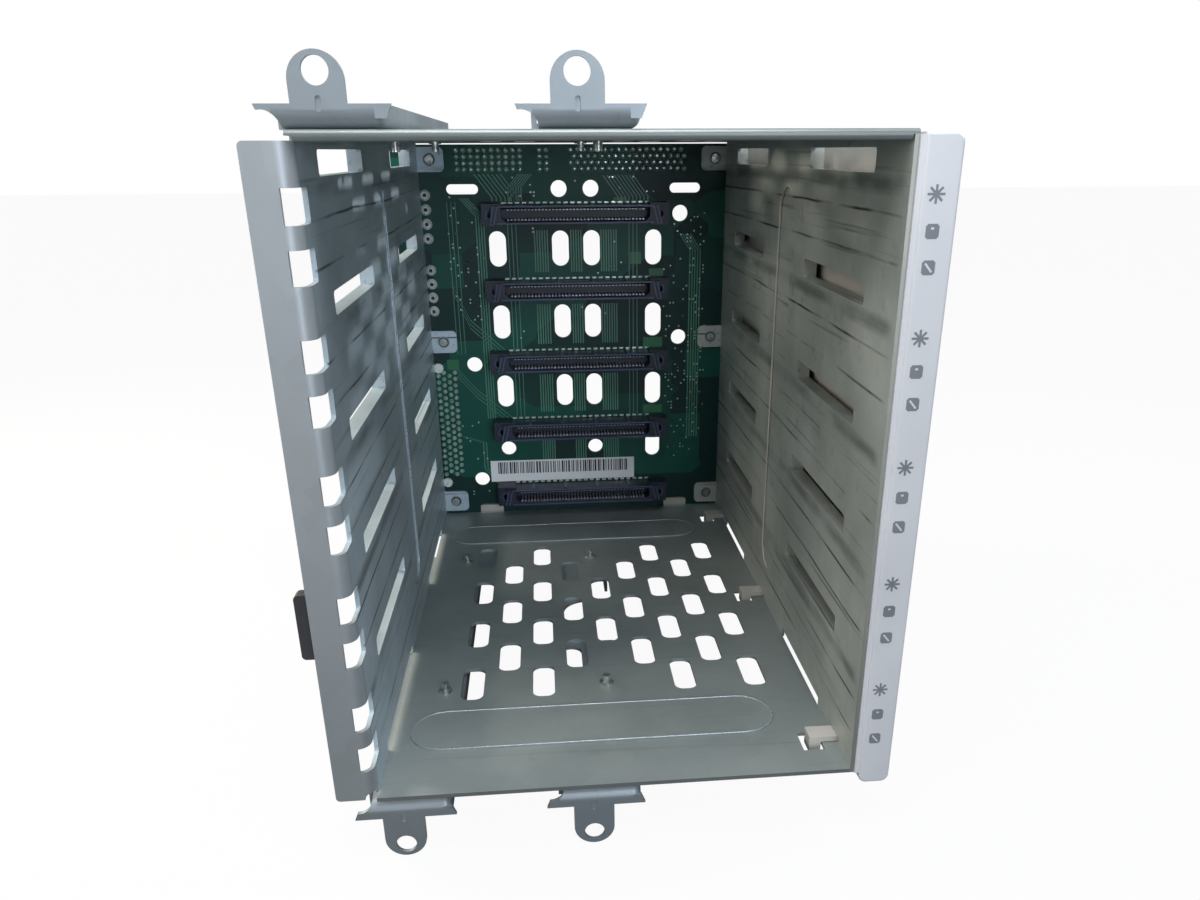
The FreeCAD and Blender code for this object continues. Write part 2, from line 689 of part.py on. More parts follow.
def rivet_holes(body, low, high):
    hole = cut(body, "rivet_hole", "flat", low, high,
               lambda d: draw_circle(d, S.ear_x + S.rivet_x, S.rivet_front,
                                     S.rivet_size + S.shank_gap * 2))
    repeat(body, hole, [("H_Axis", S.ear_spacing, 2), ("V_Axis", S.rivet_step, 2)])


floor = new_body("floor_panel")
add(floor, "plate", "flat", UNDER, 0,
    lambda d: draw_rectangle(d, 0, 0, S.bay_width, S.cage_depth))
vents(floor, UNDER, 0)
rivet_holes(floor, UNDER, 0)


def floor_beads(d):
    radius = S.floor_bead_width / 2
    for y in (S.floor_bead_front, S.floor_bead_rear):
        draw_obround(d, S.floor_bead_x + radius, y,
                     S.floor_bead_x + S.floor_bead_length - radius, y, radius)


cut(floor, "bead_hollow", "flat", UNDER, UNDER + S.bead_height, floor_beads)
add(floor, "bead_top", "flat", 0, S.bead_height, floor_beads)


def board_stops(d):
    for start in (S.stop_left, S.stop_right):
        draw_rectangle(d, start, UNDER, start + S.stop_width, S.stop_height)


add(floor, "board_stops", "across", S.cage_depth - S.sheet, S.cage_depth, board_stops)
round_edges(floor, "stop_corners", edges_along(floor, "y", [{"z": S.stop_height}]), S.sheet)


def hook_slots(d):
    inner = S.bay_width - S.hook_reach - S.hook_slot_side
    for start in CLAWS:
        front = start - S.hook_slot_lead
        draw_rectangle(d, inner, front, inner + S.hook_slot, front + S.hook_slot_length)


cut(floor, "hook_slots", "flat", UNDER, 0, hook_slots)

top = new_body("top_panel")
add(top, "plate", "flat", S.bay_height, TOP,
    lambda d: draw_rectangle(d, -S.sheet, 0, S.bay_width + S.sheet, S.cage_depth))
add(top, "hem", "flat", S.bay_height - S.sheet, S.bay_height,
    lambda d: draw_rectangle(d, S.hem_gap, 0, S.bay_width - S.hem_gap, S.hem_depth))
round_edges(top, "hem_fold",
            edges_along(top, "x", [{"y": ZERO, "z": TOP},
                                   {"y": ZERO, "z": S.bay_height - S.sheet}]),
            S.hem_bend)
vents(top, S.bay_height, TOP)
rivet_holes(top, S.bay_height, TOP)


# Mounting rails: channels on the top and the floor whose fronts end in drilled ears.

def rail(name, ear, level, way, depth, rise, footed):
    """Heights are measured away from the panel, which is at level.

    A footed rail is wider at its rear end; the other kind has a waist there instead.
    """
    def height(value):
        return level + value if way > 0 else level - value

    left_side = ear - S.rail_left
    left_end = left_side - S.apron_overhang
    right_side = ear + S.rail_right
    body = new_body(name)

    def section(d):
        draw_outline(d, [
            (left_side, height(0)), (right_side, height(0)), (right_side, height(depth)),
            (right_side - S.sheet, height(depth)), (right_side - S.sheet, height(S.sheet)),
            (left_side + S.sheet, height(S.sheet)), (left_side + S.sheet, height(depth)),
            (left_side, height(depth))])
    add(body, "channel", "across", 0, S.rail_length, section)
    add(body, "apron", "across", 0, S.sheet,
        lambda d: draw_rectangle(d, left_end, height(0), right_side, height(depth)))
    add(body, "apron_web", "flat", *ordered(height(0), height(S.sheet)),
        lambda d: draw_rectangle(d, left_end, 0, left_side + S.sheet, S.apron_length))
    round_edges(body, "apron_bend",
                edges_along(body, "x", [{"y": ZERO, "z": height(0)}]), S.apron_bend)
    round_edges(body, "side_bend",
                edges_along(body, "y", [{"x": right_side, "z": height(0)}]), S.rail_bend)
    round_edges(body, "apron_bend_inside",
                edges_along(body, "x", [{"y": S.sheet, "z": height(S.sheet)}]),
                S.apron_bend - S.sheet)

    def points(d):
        free = height(depth)
        neck = height(depth - S.apron_point_height)
        for end, out in ((left_end, -1), (right_side, 1)):
            root = end - S.apron_root * out
            draw_outline(d, [(root, neck), (end, neck), (end + S.apron_point * out, free),
                             (root, free)])
    add(body, "points", "across", 0, S.sheet, points)
    cut(body, "flare", "across", 0, S.apron_length,
        lambda d: draw_circle(d, left_end, height(0), S.apron_flare * 2))
    cut(body, "relief", "along", left_side, left_side + S.sheet,
        lambda d: draw_rectangle(d, S.sheet, height(S.sheet), S.apron_length, height(depth)))

    half = S.ear_width / 2

    def ear_outline(d):
        first = d.GeometryCount
        crown = height(rise + S.ear_tip - half)
        root = height(depth - S.sheet)
        x0, x1 = ear - half, ear + half
        d.addGeometry(Part.LineSegment(vector(x0, crown), vector(x0, root)), False)
        d.addGeometry(Part.LineSegment(vector(x0, root), vector(x1, root)), False)
        d.addGeometry(Part.LineSegment(vector(x1, root), vector(x1, crown)), False)
        ring = Part.Circle(vector(ear, crown), FreeCAD.Vector(0, 0, 1), half.value)
        begin = 0 if way > 0 else math.pi
        d.addGeometry(Part.ArcOfCircle(ring, begin, begin + math.pi), False)
        start, end = (1, 2) if way > 0 else (2, 1)
        d.addConstraint(Sketcher.Constraint("Coincident", first, 2, first + 1, 1))
        d.addConstraint(Sketcher.Constraint("Coincident", first + 1, 2, first + 2, 1))
        d.addConstraint(Sketcher.Constraint("Tangent", first + 2, 2, first + 3, start))
        d.addConstraint(Sketcher.Constraint("Tangent", first + 3, end, first, 1))
        hold(d, first, 2, x0, root)
        hold(d, first + 2, 1, x1, root)
        hold(d, first + 3, 3, ear, crown)
    add(body, "ear", "across", 0, S.sheet, ear_outline)
    cut(body, "ear_hole", "across", 0, S.sheet,
        lambda d: draw_circle(d, ear, height(rise), S.ear_hole))

    def dart(d):
        radius = S.dart_width / 2
        low, high = ordered(height(depth - S.dart_height / 2), height(depth + S.dart_height / 2))
        draw_obround(d, ear, low + radius, ear, high - radius, radius)
    cut(body, "dart_hollow", "across", 0, S.dart_depth, dart)
    add(body, "dart_back", "across", S.sheet, S.sheet + S.dart_depth, dart)

    web = ordered(height(0), height(S.sheet))
    if footed:
        cut(body, "window", "flat", *web,
            lambda d: draw_rounded(d, left_side + S.rail_window_inset, S.rail_window_front,
                                   right_side - S.rail_window_inset,
                                   S.rail_window_front + S.rail_window_length,
                                   S.rail_window_corner))
        cut(body, "foot_room", "along", right_side - S.sheet, right_side,
            lambda d: draw_rectangle(d, S.foot_front - S.sheet, height(S.sheet),
                                     S.rail_length, height(depth)))
        add(body, "foot", "flat", *web,
            lambda d: draw_rounded(d, right_side - S.foot_corner * 2, S.foot_front,
                                   right_side + S.foot_width, S.foot_front + S.foot_length,
                                   S.foot_corner))
    else:
        slot = ear - S.slot_left
        cut(body, "long_hole", "flat", *web,
            lambda d: draw_obround(d, slot, S.slot_front + S.slot_radius,
                                   slot, S.slot_front + S.slot_length - S.slot_radius,
                                   S.slot_radius))
        through = ordered(height(0), height(depth))
        cut(body, "waist", "flat", *through,
            lambda d: draw_rounded(d, ear - S.waist_left, S.waist_front,
                                   right_side + S.waist_corner,
                                   S.waist_front + S.waist_length, S.waist_corner))
        cut(body, "waist_narrow", "flat", *through,
            lambda d: draw_rounded(d, ear + S.waist_narrow, S.waist_front,
                                   right_side + S.rail_window_corner,
                                   S.waist_front + S.waist_narrow_length,
                                   S.rail_window_corner))
    hole = cut(body, "rivet_hole", "flat", *web,
               lambda d: draw_circle(d, ear + S.rivet_x, S.rivet_front,
                                     S.rivet_size + S.shank_gap * 2))
    repeat(body, hole, [("V_Axis", S.rivet_step, 2)])
    return body


for side, ear in zip(("left", "right"), EARS):
    rail("top_rail_" + side, ear, TOP, 1, S.rail_depth_top, S.ear_rise_top, side == "left")
for side, ear in zip(("left", "right"), EARS):
    rail("bottom_rail_" + side, ear, UNDER, -1, S.rail_depth_bottom, S.ear_rise_bottom,
         side == "left")


# Blind rivets that hold the rails: a head outside, a ring and mandrel end inside.

def rivet_spots(size):
    def draw(d):
        for ear in EARS:
            for back in (S.rivet_front, S.rivet_front + S.rivet_step):
                draw_circle(d, ear + S.rivet_x, back, size)
    return draw


rivets = new_body("rail_rivets")
for place, inner, outer, way in (("floor", ZERO, UNDER - S.sheet, 1),
                                 ("top", S.bay_height, TOP + S.sheet, -1)):
    ring, tip = S.rivet_head_height * way, S.rivet_pin * way
    add(rivets, place + "_shank", "flat", *ordered(outer, inner), rivet_spots(S.rivet_size))
    add(rivets, place + "_head", "flat", *ordered(outer - ring, outer),
        rivet_spots(S.rivet_head))
    add(rivets, place + "_ring", "flat", *ordered(inner, inner + ring),
        rivet_spots(S.rivet_ring))
    add(rivets, place + "_mandrel", "flat", *ordered(inner + ring, inner + tip),
        rivet_spots(S.rivet_size))


# The board at the back.

board = new_body("backplane_board")
BOARD_Z = (S.board_low, S.bay_height - S.board_high)
add(board, "plate", "across", S.cage_depth, BOARD_BACK,
    lambda d: draw_rounded(d, -S.board_left, BOARD_Z[0], S.bay_width + S.board_right,
                           BOARD_Z[1], S.board_corner))


def airways(d):
    radius = S.airway_width / 2
    low = S.airway_low - S.airway_height / 2 + radius
    high = S.airway_low + S.airway_height / 2 - radius
    for shift in (-S.airway_outer, -S.airway_inner, S.airway_inner, S.airway_outer):
        draw_obround(d, MIDDLE + shift, low, MIDDLE + shift, high, radius)


oval = cut(board, "airways", "across", S.cage_depth, BOARD_BACK, airways)
repeat(board, oval, [("V_Axis", S.bay_pitch, 3)])


def round_ports(d):
    for x, z in ((MIDDLE - S.airway_outer, S.hole_low), (MIDDLE + S.airway_inner, S.hole_low),
                 (MIDDLE - S.airway_inner, S.slot_z), (MIDDLE + S.airway_inner, S.slot_z),
                 (MIDDLE + S.port_right, S.port_high), (MIDDLE + S.port_right, S.port_mid),
                 (MIDDLE - S.port_left, S.port_side), (MIDDLE - S.port_left, S.port_low)):
        draw_circle(d, x, z, S.hole_round)


cut(board, "round_ports", "across", S.cage_depth, BOARD_BACK, round_ports)


def flat_slots(d):
    reach = (S.slot_wide - S.slot_high) / 2
    for x in (MIDDLE - S.slot_spread, MIDDLE + S.slot_spread):
        draw_obround(d, x - reach, S.slot_z, x + reach, S.slot_z, S.slot_high / 2)
    tall = MIDDLE + S.airway_outer
    draw_obround(d, tall, S.hole_low - S.tall_reach, tall, S.hole_low + S.tall_reach,
                 S.hole_round / 2)


cut(board, "flat_slots", "across", S.cage_depth, BOARD_BACK, flat_slots)


def screw_holes(d):
    for x in (S.screw_inset, S.bay_width - S.screw_inset):
        draw_circle(d, x, S.tab_low, S.screw_size + S.shank_gap * 2)


hole = cut(board, "screw_holes", "across", S.cage_depth, BOARD_BACK, screw_holes)
repeat(board, hole, [("V_Axis", S.tab_pitch, S.tab_count)])
hole = cut(board, "power_holes", "across", S.cage_depth, BOARD_BACK,
           lambda d: draw_circle(d, S.power_x, S.power_low, S.power_pin + S.shank_gap * 2))
repeat(board, hole, [("V_Axis", S.power_pitch, S.power_count), ("V_Axis", S.power_step, 2)])
hole = cut(board, "side_rivet_holes", "across", S.cage_depth, BOARD_BACK,
           lambda d: draw_circle(d, S.side_rivet_x, S.side_header_z - S.side_rivet_step / 2,
                                 S.rivet_size + S.shank_gap * 2))
repeat(board, hole, [("V_Axis", S.side_rivet_step, 2)])

screws = new_body("board_screws")
tip = S.cage_depth - S.sheet - S.screw_end


def screw_spots(size):
    def draw(d):
        for x in (S.screw_inset, S.bay_width - S.screw_inset):
            for row in range(int(S.tab_count.value)):
                draw_circle(d, x, S.tab_low + S.tab_pitch * row, size)
    return draw


add(screws, "shanks", "across", tip, BOARD_BACK, screw_spots(S.screw_size))
add(screws, "heads", "across", BOARD_BACK, BOARD_BACK + S.screw_head_height,
    screw_spots(S.screw_head))


# Drive sockets on the board, one for each bay.

def drive_socket(name, middle):
    body = new_body(name)
    front = S.cage_depth - S.socket_reach
    half = S.socket_width / 2
    add(body, "shroud", "across", front, S.cage_depth,
        lambda d: draw_rectangle(d, MIDDLE - S.socket_shroud / 2,
                                 middle - S.socket_shroud_height / 2,
                                 MIDDLE + S.socket_shroud / 2,
                                 middle + S.socket_shroud_height / 2))

    def ends(d):
        tall = S.socket_height / 2
        draw_rectangle(d, MIDDLE - half, middle - tall, MIDDLE - half + S.socket_end,
                       middle + tall)
        draw_rectangle(d, MIDDLE + half - S.socket_end, middle - tall, MIDDLE + half,
                       middle + tall)
    add(body, "ends", "across", front + S.socket_step, S.cage_depth, ends)

    def mouth(d):
        x0, x1 = MIDDLE - S.socket_mouth / 2, MIDDLE + S.socket_mouth / 2
        z0 = middle - S.socket_mouth_height / 2
        z1 = middle + S.socket_mouth_height / 2
        draw_outline(d, [(x0 + S.socket_key, z0), (x1 - S.socket_key, z0),
                         (x1, z0 + S.socket_key), (x1, z1), (x0, z1),
                         (x0, z0 + S.socket_key)])
    cut(body, "mouth", "across", front, front + S.socket_mouth_depth, mouth)
    upper = {"y": front, "z": middle + S.socket_mouth_height / 2}
    lower = {"y": front, "z": middle - S.socket_mouth_height / 2}
    bevel_edges(body, "lead_in", edges_along(body, "x", [upper, lower]), S.socket_lead)

    def posts(d):
        for x in (MIDDLE - half + S.socket_end / 2, MIDDLE + half - S.socket_end / 2):
            draw_circle(d, x, middle, S.socket_post_hole)
    start = front + S.socket_step
    cut(body, "post_holes", "across", start, start + S.socket_post_depth, posts)
    return body


for number in range(int(S.bay_count.value)):
    bay = int(S.bay_count.value) - number
    drive_socket("drive_socket_" + str(number + 1), S.socket_low + S.bay_pitch * (bay - 1))


# Headers behind the board: an open shroud with a contact tongue standing in it.

def header(name, x, z, length, upright):
    body = new_body(name)
    wide, tall = (S.header_height, length) if upright else (length, S.header_height)
    add(body, "shell", "across", BOARD_BACK, BOARD_BACK + S.header_depth,
        lambda d: draw_rounded(d, x - wide / 2, z - tall / 2, x + wide / 2, z + tall / 2,
                               S.header_corner))
    mouth = BOARD_BACK + S.header_depth - S.header_cavity
    cut(body, "mouth", "across", mouth, BOARD_BACK + S.header_depth,
        lambda d: draw_rectangle(d, x - wide / 2 + S.header_wall, z - tall / 2 + S.header_wall,
                                 x + wide / 2 - S.header_wall, z + tall / 2 - S.header_wall))
    inset = S.header_wall * 2
    blade = S.header_blade / 2
    if upright:
        place = (x - blade, z - tall / 2 + inset, x + blade, z + tall / 2 - inset)
    else:
        place = (x - wide / 2 + inset, z - blade, x + wide / 2 - inset, z + blade)
    add(body, "tongue", "across", mouth - S.sheet, BOARD_BACK + S.header_depth - S.header_wall,
        lambda d: draw_rectangle(d, *place))
    return body


side = header("side_header", S.side_header_x, S.side_header_z, S.wide_length, True)
hole = cut(side, "rivet_holes", "across", BOARD_BACK, BOARD_BACK + S.header_wall,
           lambda d: draw_circle(d, S.side_rivet_x, S.side_header_z - S.side_rivet_step / 2,
                                 S.rivet_size + S.shank_gap * 2))
repeat(side, hole, [("V_Axis", S.side_rivet_step, 2)])
header("top_header_wide", S.wide_header_x, S.top_header_z, S.wide_length, False)
header("top_header_narrow", S.narrow_header_x, S.top_header_z, S.narrow_length, False)
header("top_header_small", S.small_header_x, S.top_header_z, S.small_length, False)

pins = new_body("side_header_rivets")


def side_rivets(size):
    def draw(d):
        for shift in (-S.side_rivet_step / 2, S.side_rivet_step / 2):
            draw_circle(d, S.side_rivet_x, S.side_header_z + shift, size)
    return draw


add(pins, "shanks", "across", S.cage_depth, BOARD_BACK + S.header_wall - S.shank_gap,
    side_rivets(S.rivet_size))
add(pins, "heads", "across", S.cage_depth - S.rivet_head_height, S.cage_depth,
    side_rivets(S.rivet_ring))


# Drive power headers behind the board, with round pins through it.

def power_header(name, first):
    body = new_body(name)
    last = first + S.power_pitch * (S.power_count - 1)
    low, high = first - S.power_side, last + S.power_side
    x0, x1 = S.power_x - S.power_width / 2, S.power_x + S.power_width / 2
    back = BOARD_BACK + S.header_depth
    add(body, "shell", "across", BOARD_BACK, back,
        lambda d: draw_outline(d, [(x0, low), (x1 - S.header_wall, low),
                                   (x1, low + S.header_wall), (x1, high - S.header_wall),
                                   (x1 - S.header_wall, high), (x0, high)]))
    inset = S.header_wall
    cut(body, "mouth", "across", back - S.header_cavity, back,
        lambda d: draw_rectangle(d, x0 + inset, low + inset, x1 - inset, high - inset))
    hole = cut(body, "pin_hole", "across", BOARD_BACK, back - S.header_cavity,
               lambda d: draw_circle(d, S.power_x, first, S.power_pin + S.shank_gap * 2))
    repeat(body, hole, [("V_Axis", S.power_pitch, S.power_count)])
    return body


power_header("power_header_lower", S.power_low)
power_header("power_header_upper", S.power_low + S.power_step)
pins = new_body("power_pins")
one = add(pins, "pin", "across", S.cage_depth - S.power_tail,
          BOARD_BACK + S.header_depth - S.header_wall,
          lambda d: draw_circle(d, S.power_x, S.power_low, S.power_pin))
repeat(pins, one, [("V_Axis", S.power_pitch, S.power_count), ("V_Axis", S.power_step, 2)])


# Status lights: a front strip, a carrier with hooks, and a guide from each lamp.

STRIP_X = S.bay_width + S.strip_gap
strip = new_body("light_strip")
add(strip, "bar", "across", -S.strip_front, S.strip_back,
    lambda d: draw_rectangle(d, STRIP_X, -S.strip_low, STRIP_X + S.strip_width,
                             S.bay_height + S.strip_high))
round_edges(strip, "corners", edges_along(strip, "y", [
    {"x": STRIP_X + S.strip_width, "z": S.bay_height + S.strip_high},
    {"x": STRIP_X + S.strip_width, "z": -S.strip_low},
    {"x": STRIP_X, "z": -S.strip_low}]), S.strip_corner)
round_edges(strip, "front_edges", edges_along(strip, "z", [
    {"x": STRIP_X, "y": -S.strip_front},
    {"x": STRIP_X + S.strip_width, "y": -S.strip_front}]), S.strip_edge)

CARRIER_X = S.bay_width + S.carrier_gap
carrier = new_body("light_guide_carrier")
add(carrier, "plate", "along", CARRIER_X, CARRIER_X + S.carrier_thick,
    lambda d: draw_rounded(d, S.strip_back, -S.carrier_low, S.cage_depth - S.carrier_back,
                           S.bay_height - S.carrier_high, S.strip_corner))
boss = add(carrier, "boss", "along", S.bay_width + S.sheet, CARRIER_X,
           lambda d: draw_circle(d, S.boss_front, S.boss_low, S.boss_size))
repeat(carrier, boss, [("H_Axis", S.boss_step, 2), ("V_Axis", S.boss_rise, 2)])


def hooks(d):
    for start in CLAWS:
        draw_rectangle(d, S.bay_width - S.hook_reach, start, CARRIER_X, start + S.hook_width)


add(carrier, "hooks", "flat", S.hook_lift, S.hook_lift + S.hook_thick, hooks)


def claws(d):
    inner = S.bay_width - S.hook_reach
    for start in CLAWS:
        draw_rectangle(d, inner, start, inner + S.hook_drop,
                       start + S.hook_slot_length - S.hook_slot_lead - S.hook_gap)


add(carrier, "claws", "flat", -S.hook_claw, S.hook_lift, claws)

LIGHT_X = CARRIER_X - S.light_size
guides = new_body("light_guides")
one = add(guides, "rod", "across", S.strip_back, S.cage_depth - S.lamp_depth,
          lambda d: draw_rectangle(d, LIGHT_X, S.light_low - S.light_size / 2, CARRIER_X,
                                   S.light_low + S.light_size / 2))
repeat(guides, one, [("V_Axis", S.light_step, S.light_count),
                     ("V_Axis", S.bay_pitch, S.bay_count)])
lamps = new_body("status_lamps")
LAMP_X = CARRIER_X - S.light_size / 2
one = add(lamps, "lamp", "across", S.cage_depth - S.lamp_depth, S.cage_depth,
          lambda d: draw_rectangle(d, LAMP_X - S.lamp_width / 2, S.light_low - S.lamp_height / 2,
                                   LAMP_X + S.lamp_width / 2, S.light_low + S.lamp_height / 2))
repeat(lamps, one, [("V_Axis", S.light_step, S.light_count),
                    ("V_Axis", S.bay_pitch, S.bay_count)])


# A dark lug behind the left flange.

lug = new_body("side_lug")
add(lug, "block", "flat", S.lug_low, S.lug_low + S.lug_height,
    lambda d: draw_rectangle(d, -S.lug_reach, S.sheet, S.lug_width - S.lug_reach,
                             S.sheet + S.lug_depth))
round_edges(lug, "corners", edges_along(lug, "y", [{"x": -S.lug_reach}])
            + edges_along(lug, "z", [{"y": S.sheet + S.lug_depth}]), S.lug_corner)


doc.recompute()
failed = [item.Name for item in doc.Objects
          if "Invalid" in item.State or "Error" in item.State]
if failed:
    raise RuntimeError("failed: " + ", ".join(failed))
for body in parts:
    shape = body.Shape
    if shape.isNull() or not shape.isValid() or not shape.Solids:
        raise RuntimeError(body.Label + " has no sound shape")
os.makedirs("parts", exist_ok=True)
for body in parts:
    body.Shape.exportStep(os.path.join("parts", body.Label + ".step"))
print(len(parts), "parts written")
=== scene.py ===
import math
import random

import bpy
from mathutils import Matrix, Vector


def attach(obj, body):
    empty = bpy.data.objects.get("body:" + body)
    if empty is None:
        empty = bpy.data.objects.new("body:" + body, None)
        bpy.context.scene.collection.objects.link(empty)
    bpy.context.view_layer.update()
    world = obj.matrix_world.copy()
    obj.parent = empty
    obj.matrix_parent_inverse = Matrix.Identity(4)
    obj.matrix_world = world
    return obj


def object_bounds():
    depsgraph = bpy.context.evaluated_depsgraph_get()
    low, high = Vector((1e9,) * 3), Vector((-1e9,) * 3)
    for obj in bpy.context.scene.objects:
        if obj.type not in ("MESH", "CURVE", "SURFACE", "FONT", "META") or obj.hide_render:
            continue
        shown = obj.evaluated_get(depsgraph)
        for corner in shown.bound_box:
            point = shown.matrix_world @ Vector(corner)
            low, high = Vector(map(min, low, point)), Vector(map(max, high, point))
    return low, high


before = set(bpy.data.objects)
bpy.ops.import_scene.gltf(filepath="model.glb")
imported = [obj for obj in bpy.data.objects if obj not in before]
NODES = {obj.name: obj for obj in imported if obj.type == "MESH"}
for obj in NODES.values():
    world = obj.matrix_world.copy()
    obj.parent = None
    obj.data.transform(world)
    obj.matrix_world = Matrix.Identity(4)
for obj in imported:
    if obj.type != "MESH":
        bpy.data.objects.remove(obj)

cad_low, cad_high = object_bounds()

# Places below are in millimetres, from the inner left edge of the cage's floor at
# its front: X to the right, Y into the cage, Z up. The frame's origin lies at the
# middle of the four ear holes. A lift is how far something stands off the board.

MM = 0.001
ORIGIN = Vector((28.1, 0.0, 69.3))
CAGE_WIDTH = 113.0
BAYS = 5
BAY_PITCH = 27.2
BOARD_FACE = 185.0
SOCKET_LOW = 9.0
SOCKET_MIDDLE = CAGE_WIDTH / 2
SOCKET_FRONT = 176.0


def at(x, y, z):
    """A place in the cage as metres in the frame."""
    return (Vector((x, y, z)) - ORIGIN) * MM


# Camera, fitted to the cage's straight edges, with turns in degrees.

CAMERA_PLACE = (42.91, -181.60, 139.36)
CAMERA_TURN = (67.666, 0.223, -5.405)
CAMERA_LENS = 27.90
CAMERA_SHIFT = (-0.0261, 0.0687)
SENSOR_WIDTH = 36.0
NEAREST_SEEN = 10.0

view = bpy.data.cameras.new("camera")
camera = bpy.data.objects.new("camera", view)
bpy.context.scene.collection.objects.link(camera)
camera.location = at(*CAMERA_PLACE)
camera.rotation_euler = [math.radians(turn) for turn in CAMERA_TURN]
view.sensor_width = SENSOR_WIDTH
view.lens = CAMERA_LENS
view.shift_x, view.shift_y = CAMERA_SHIFT
view.clip_start = NEAREST_SEEN * MM
bpy.context.scene.camera = camera
bpy.context.scene.view_settings.view_transform = "Standard"


# Materials. Patterns run on Object coordinates, which are metres in the frame.

def paint(code):
    """An sRGB hex value as linear colour."""
    parts = [int(code[i:i + 2], 16) / 255 for i in (0, 2, 4)]
    return tuple(p / 12.92 if p <= 0.04045 else ((p + 0.055) / 1.055) ** 2.4
                 for p in parts) + (1.0,)


def per_mm(size):
    """The texture scale that makes one cell as long as this many millimetres."""
    return 1.0 / (size * MM)


def node(tree, kind, inputs=None, **settings):
    """Add a node, set it up, and fill its inputs or link them.

    An input takes a value, an output socket, or a node, of which the first output
    is meant. Map Range has 0 for the value, 1 and 2 for its range, and 3 and 4 for
    the new range. Mix has 0 for the amount, 6 and 7 for the colours, and output 2.
    """
    made = tree.nodes.new("ShaderNode" + kind)
    for name, value in settings.items():
        setattr(made, name, value)
    for key, value in (inputs or {}).items():
        if isinstance(value, bpy.types.Node):
            value = value.outputs[0]
        if isinstance(value, bpy.types.NodeSocket):
            tree.links.new(value, made.inputs[key])
        else:
            made.inputs[key].default_value = value
    return made


def material(name):
    made = bpy.data.materials.new(name)
    made.use_nodes = True
    made.node_tree.nodes.clear()
    return made, made.node_tree


# Sizes of the patterns in millimetres. Weave and grains are finer on the real thing
# and are drawn as coarse as they need to show. Smudges set in over a stretch of
# depth, and painted shade darkens the flange over a stretch of height in the frame,
# towards its foot.

SPANGLE = 6.0
FILM_CLOUD = 38.0
SCUFF_WIDTH = 1.6
SCUFF_LENGTH = 95.0
SMUDGE = 9.0
SMUDGE_START = (1.2, 8.0)
FOOT_SHADE_SPAN = (-60.0, 25.0)
SHEET_GRAIN = 0.7
GRAIN_DEPTH = 0.02

# Its dull film lets the zinc look only partly like metal.
SHEET_METAL = 0.35


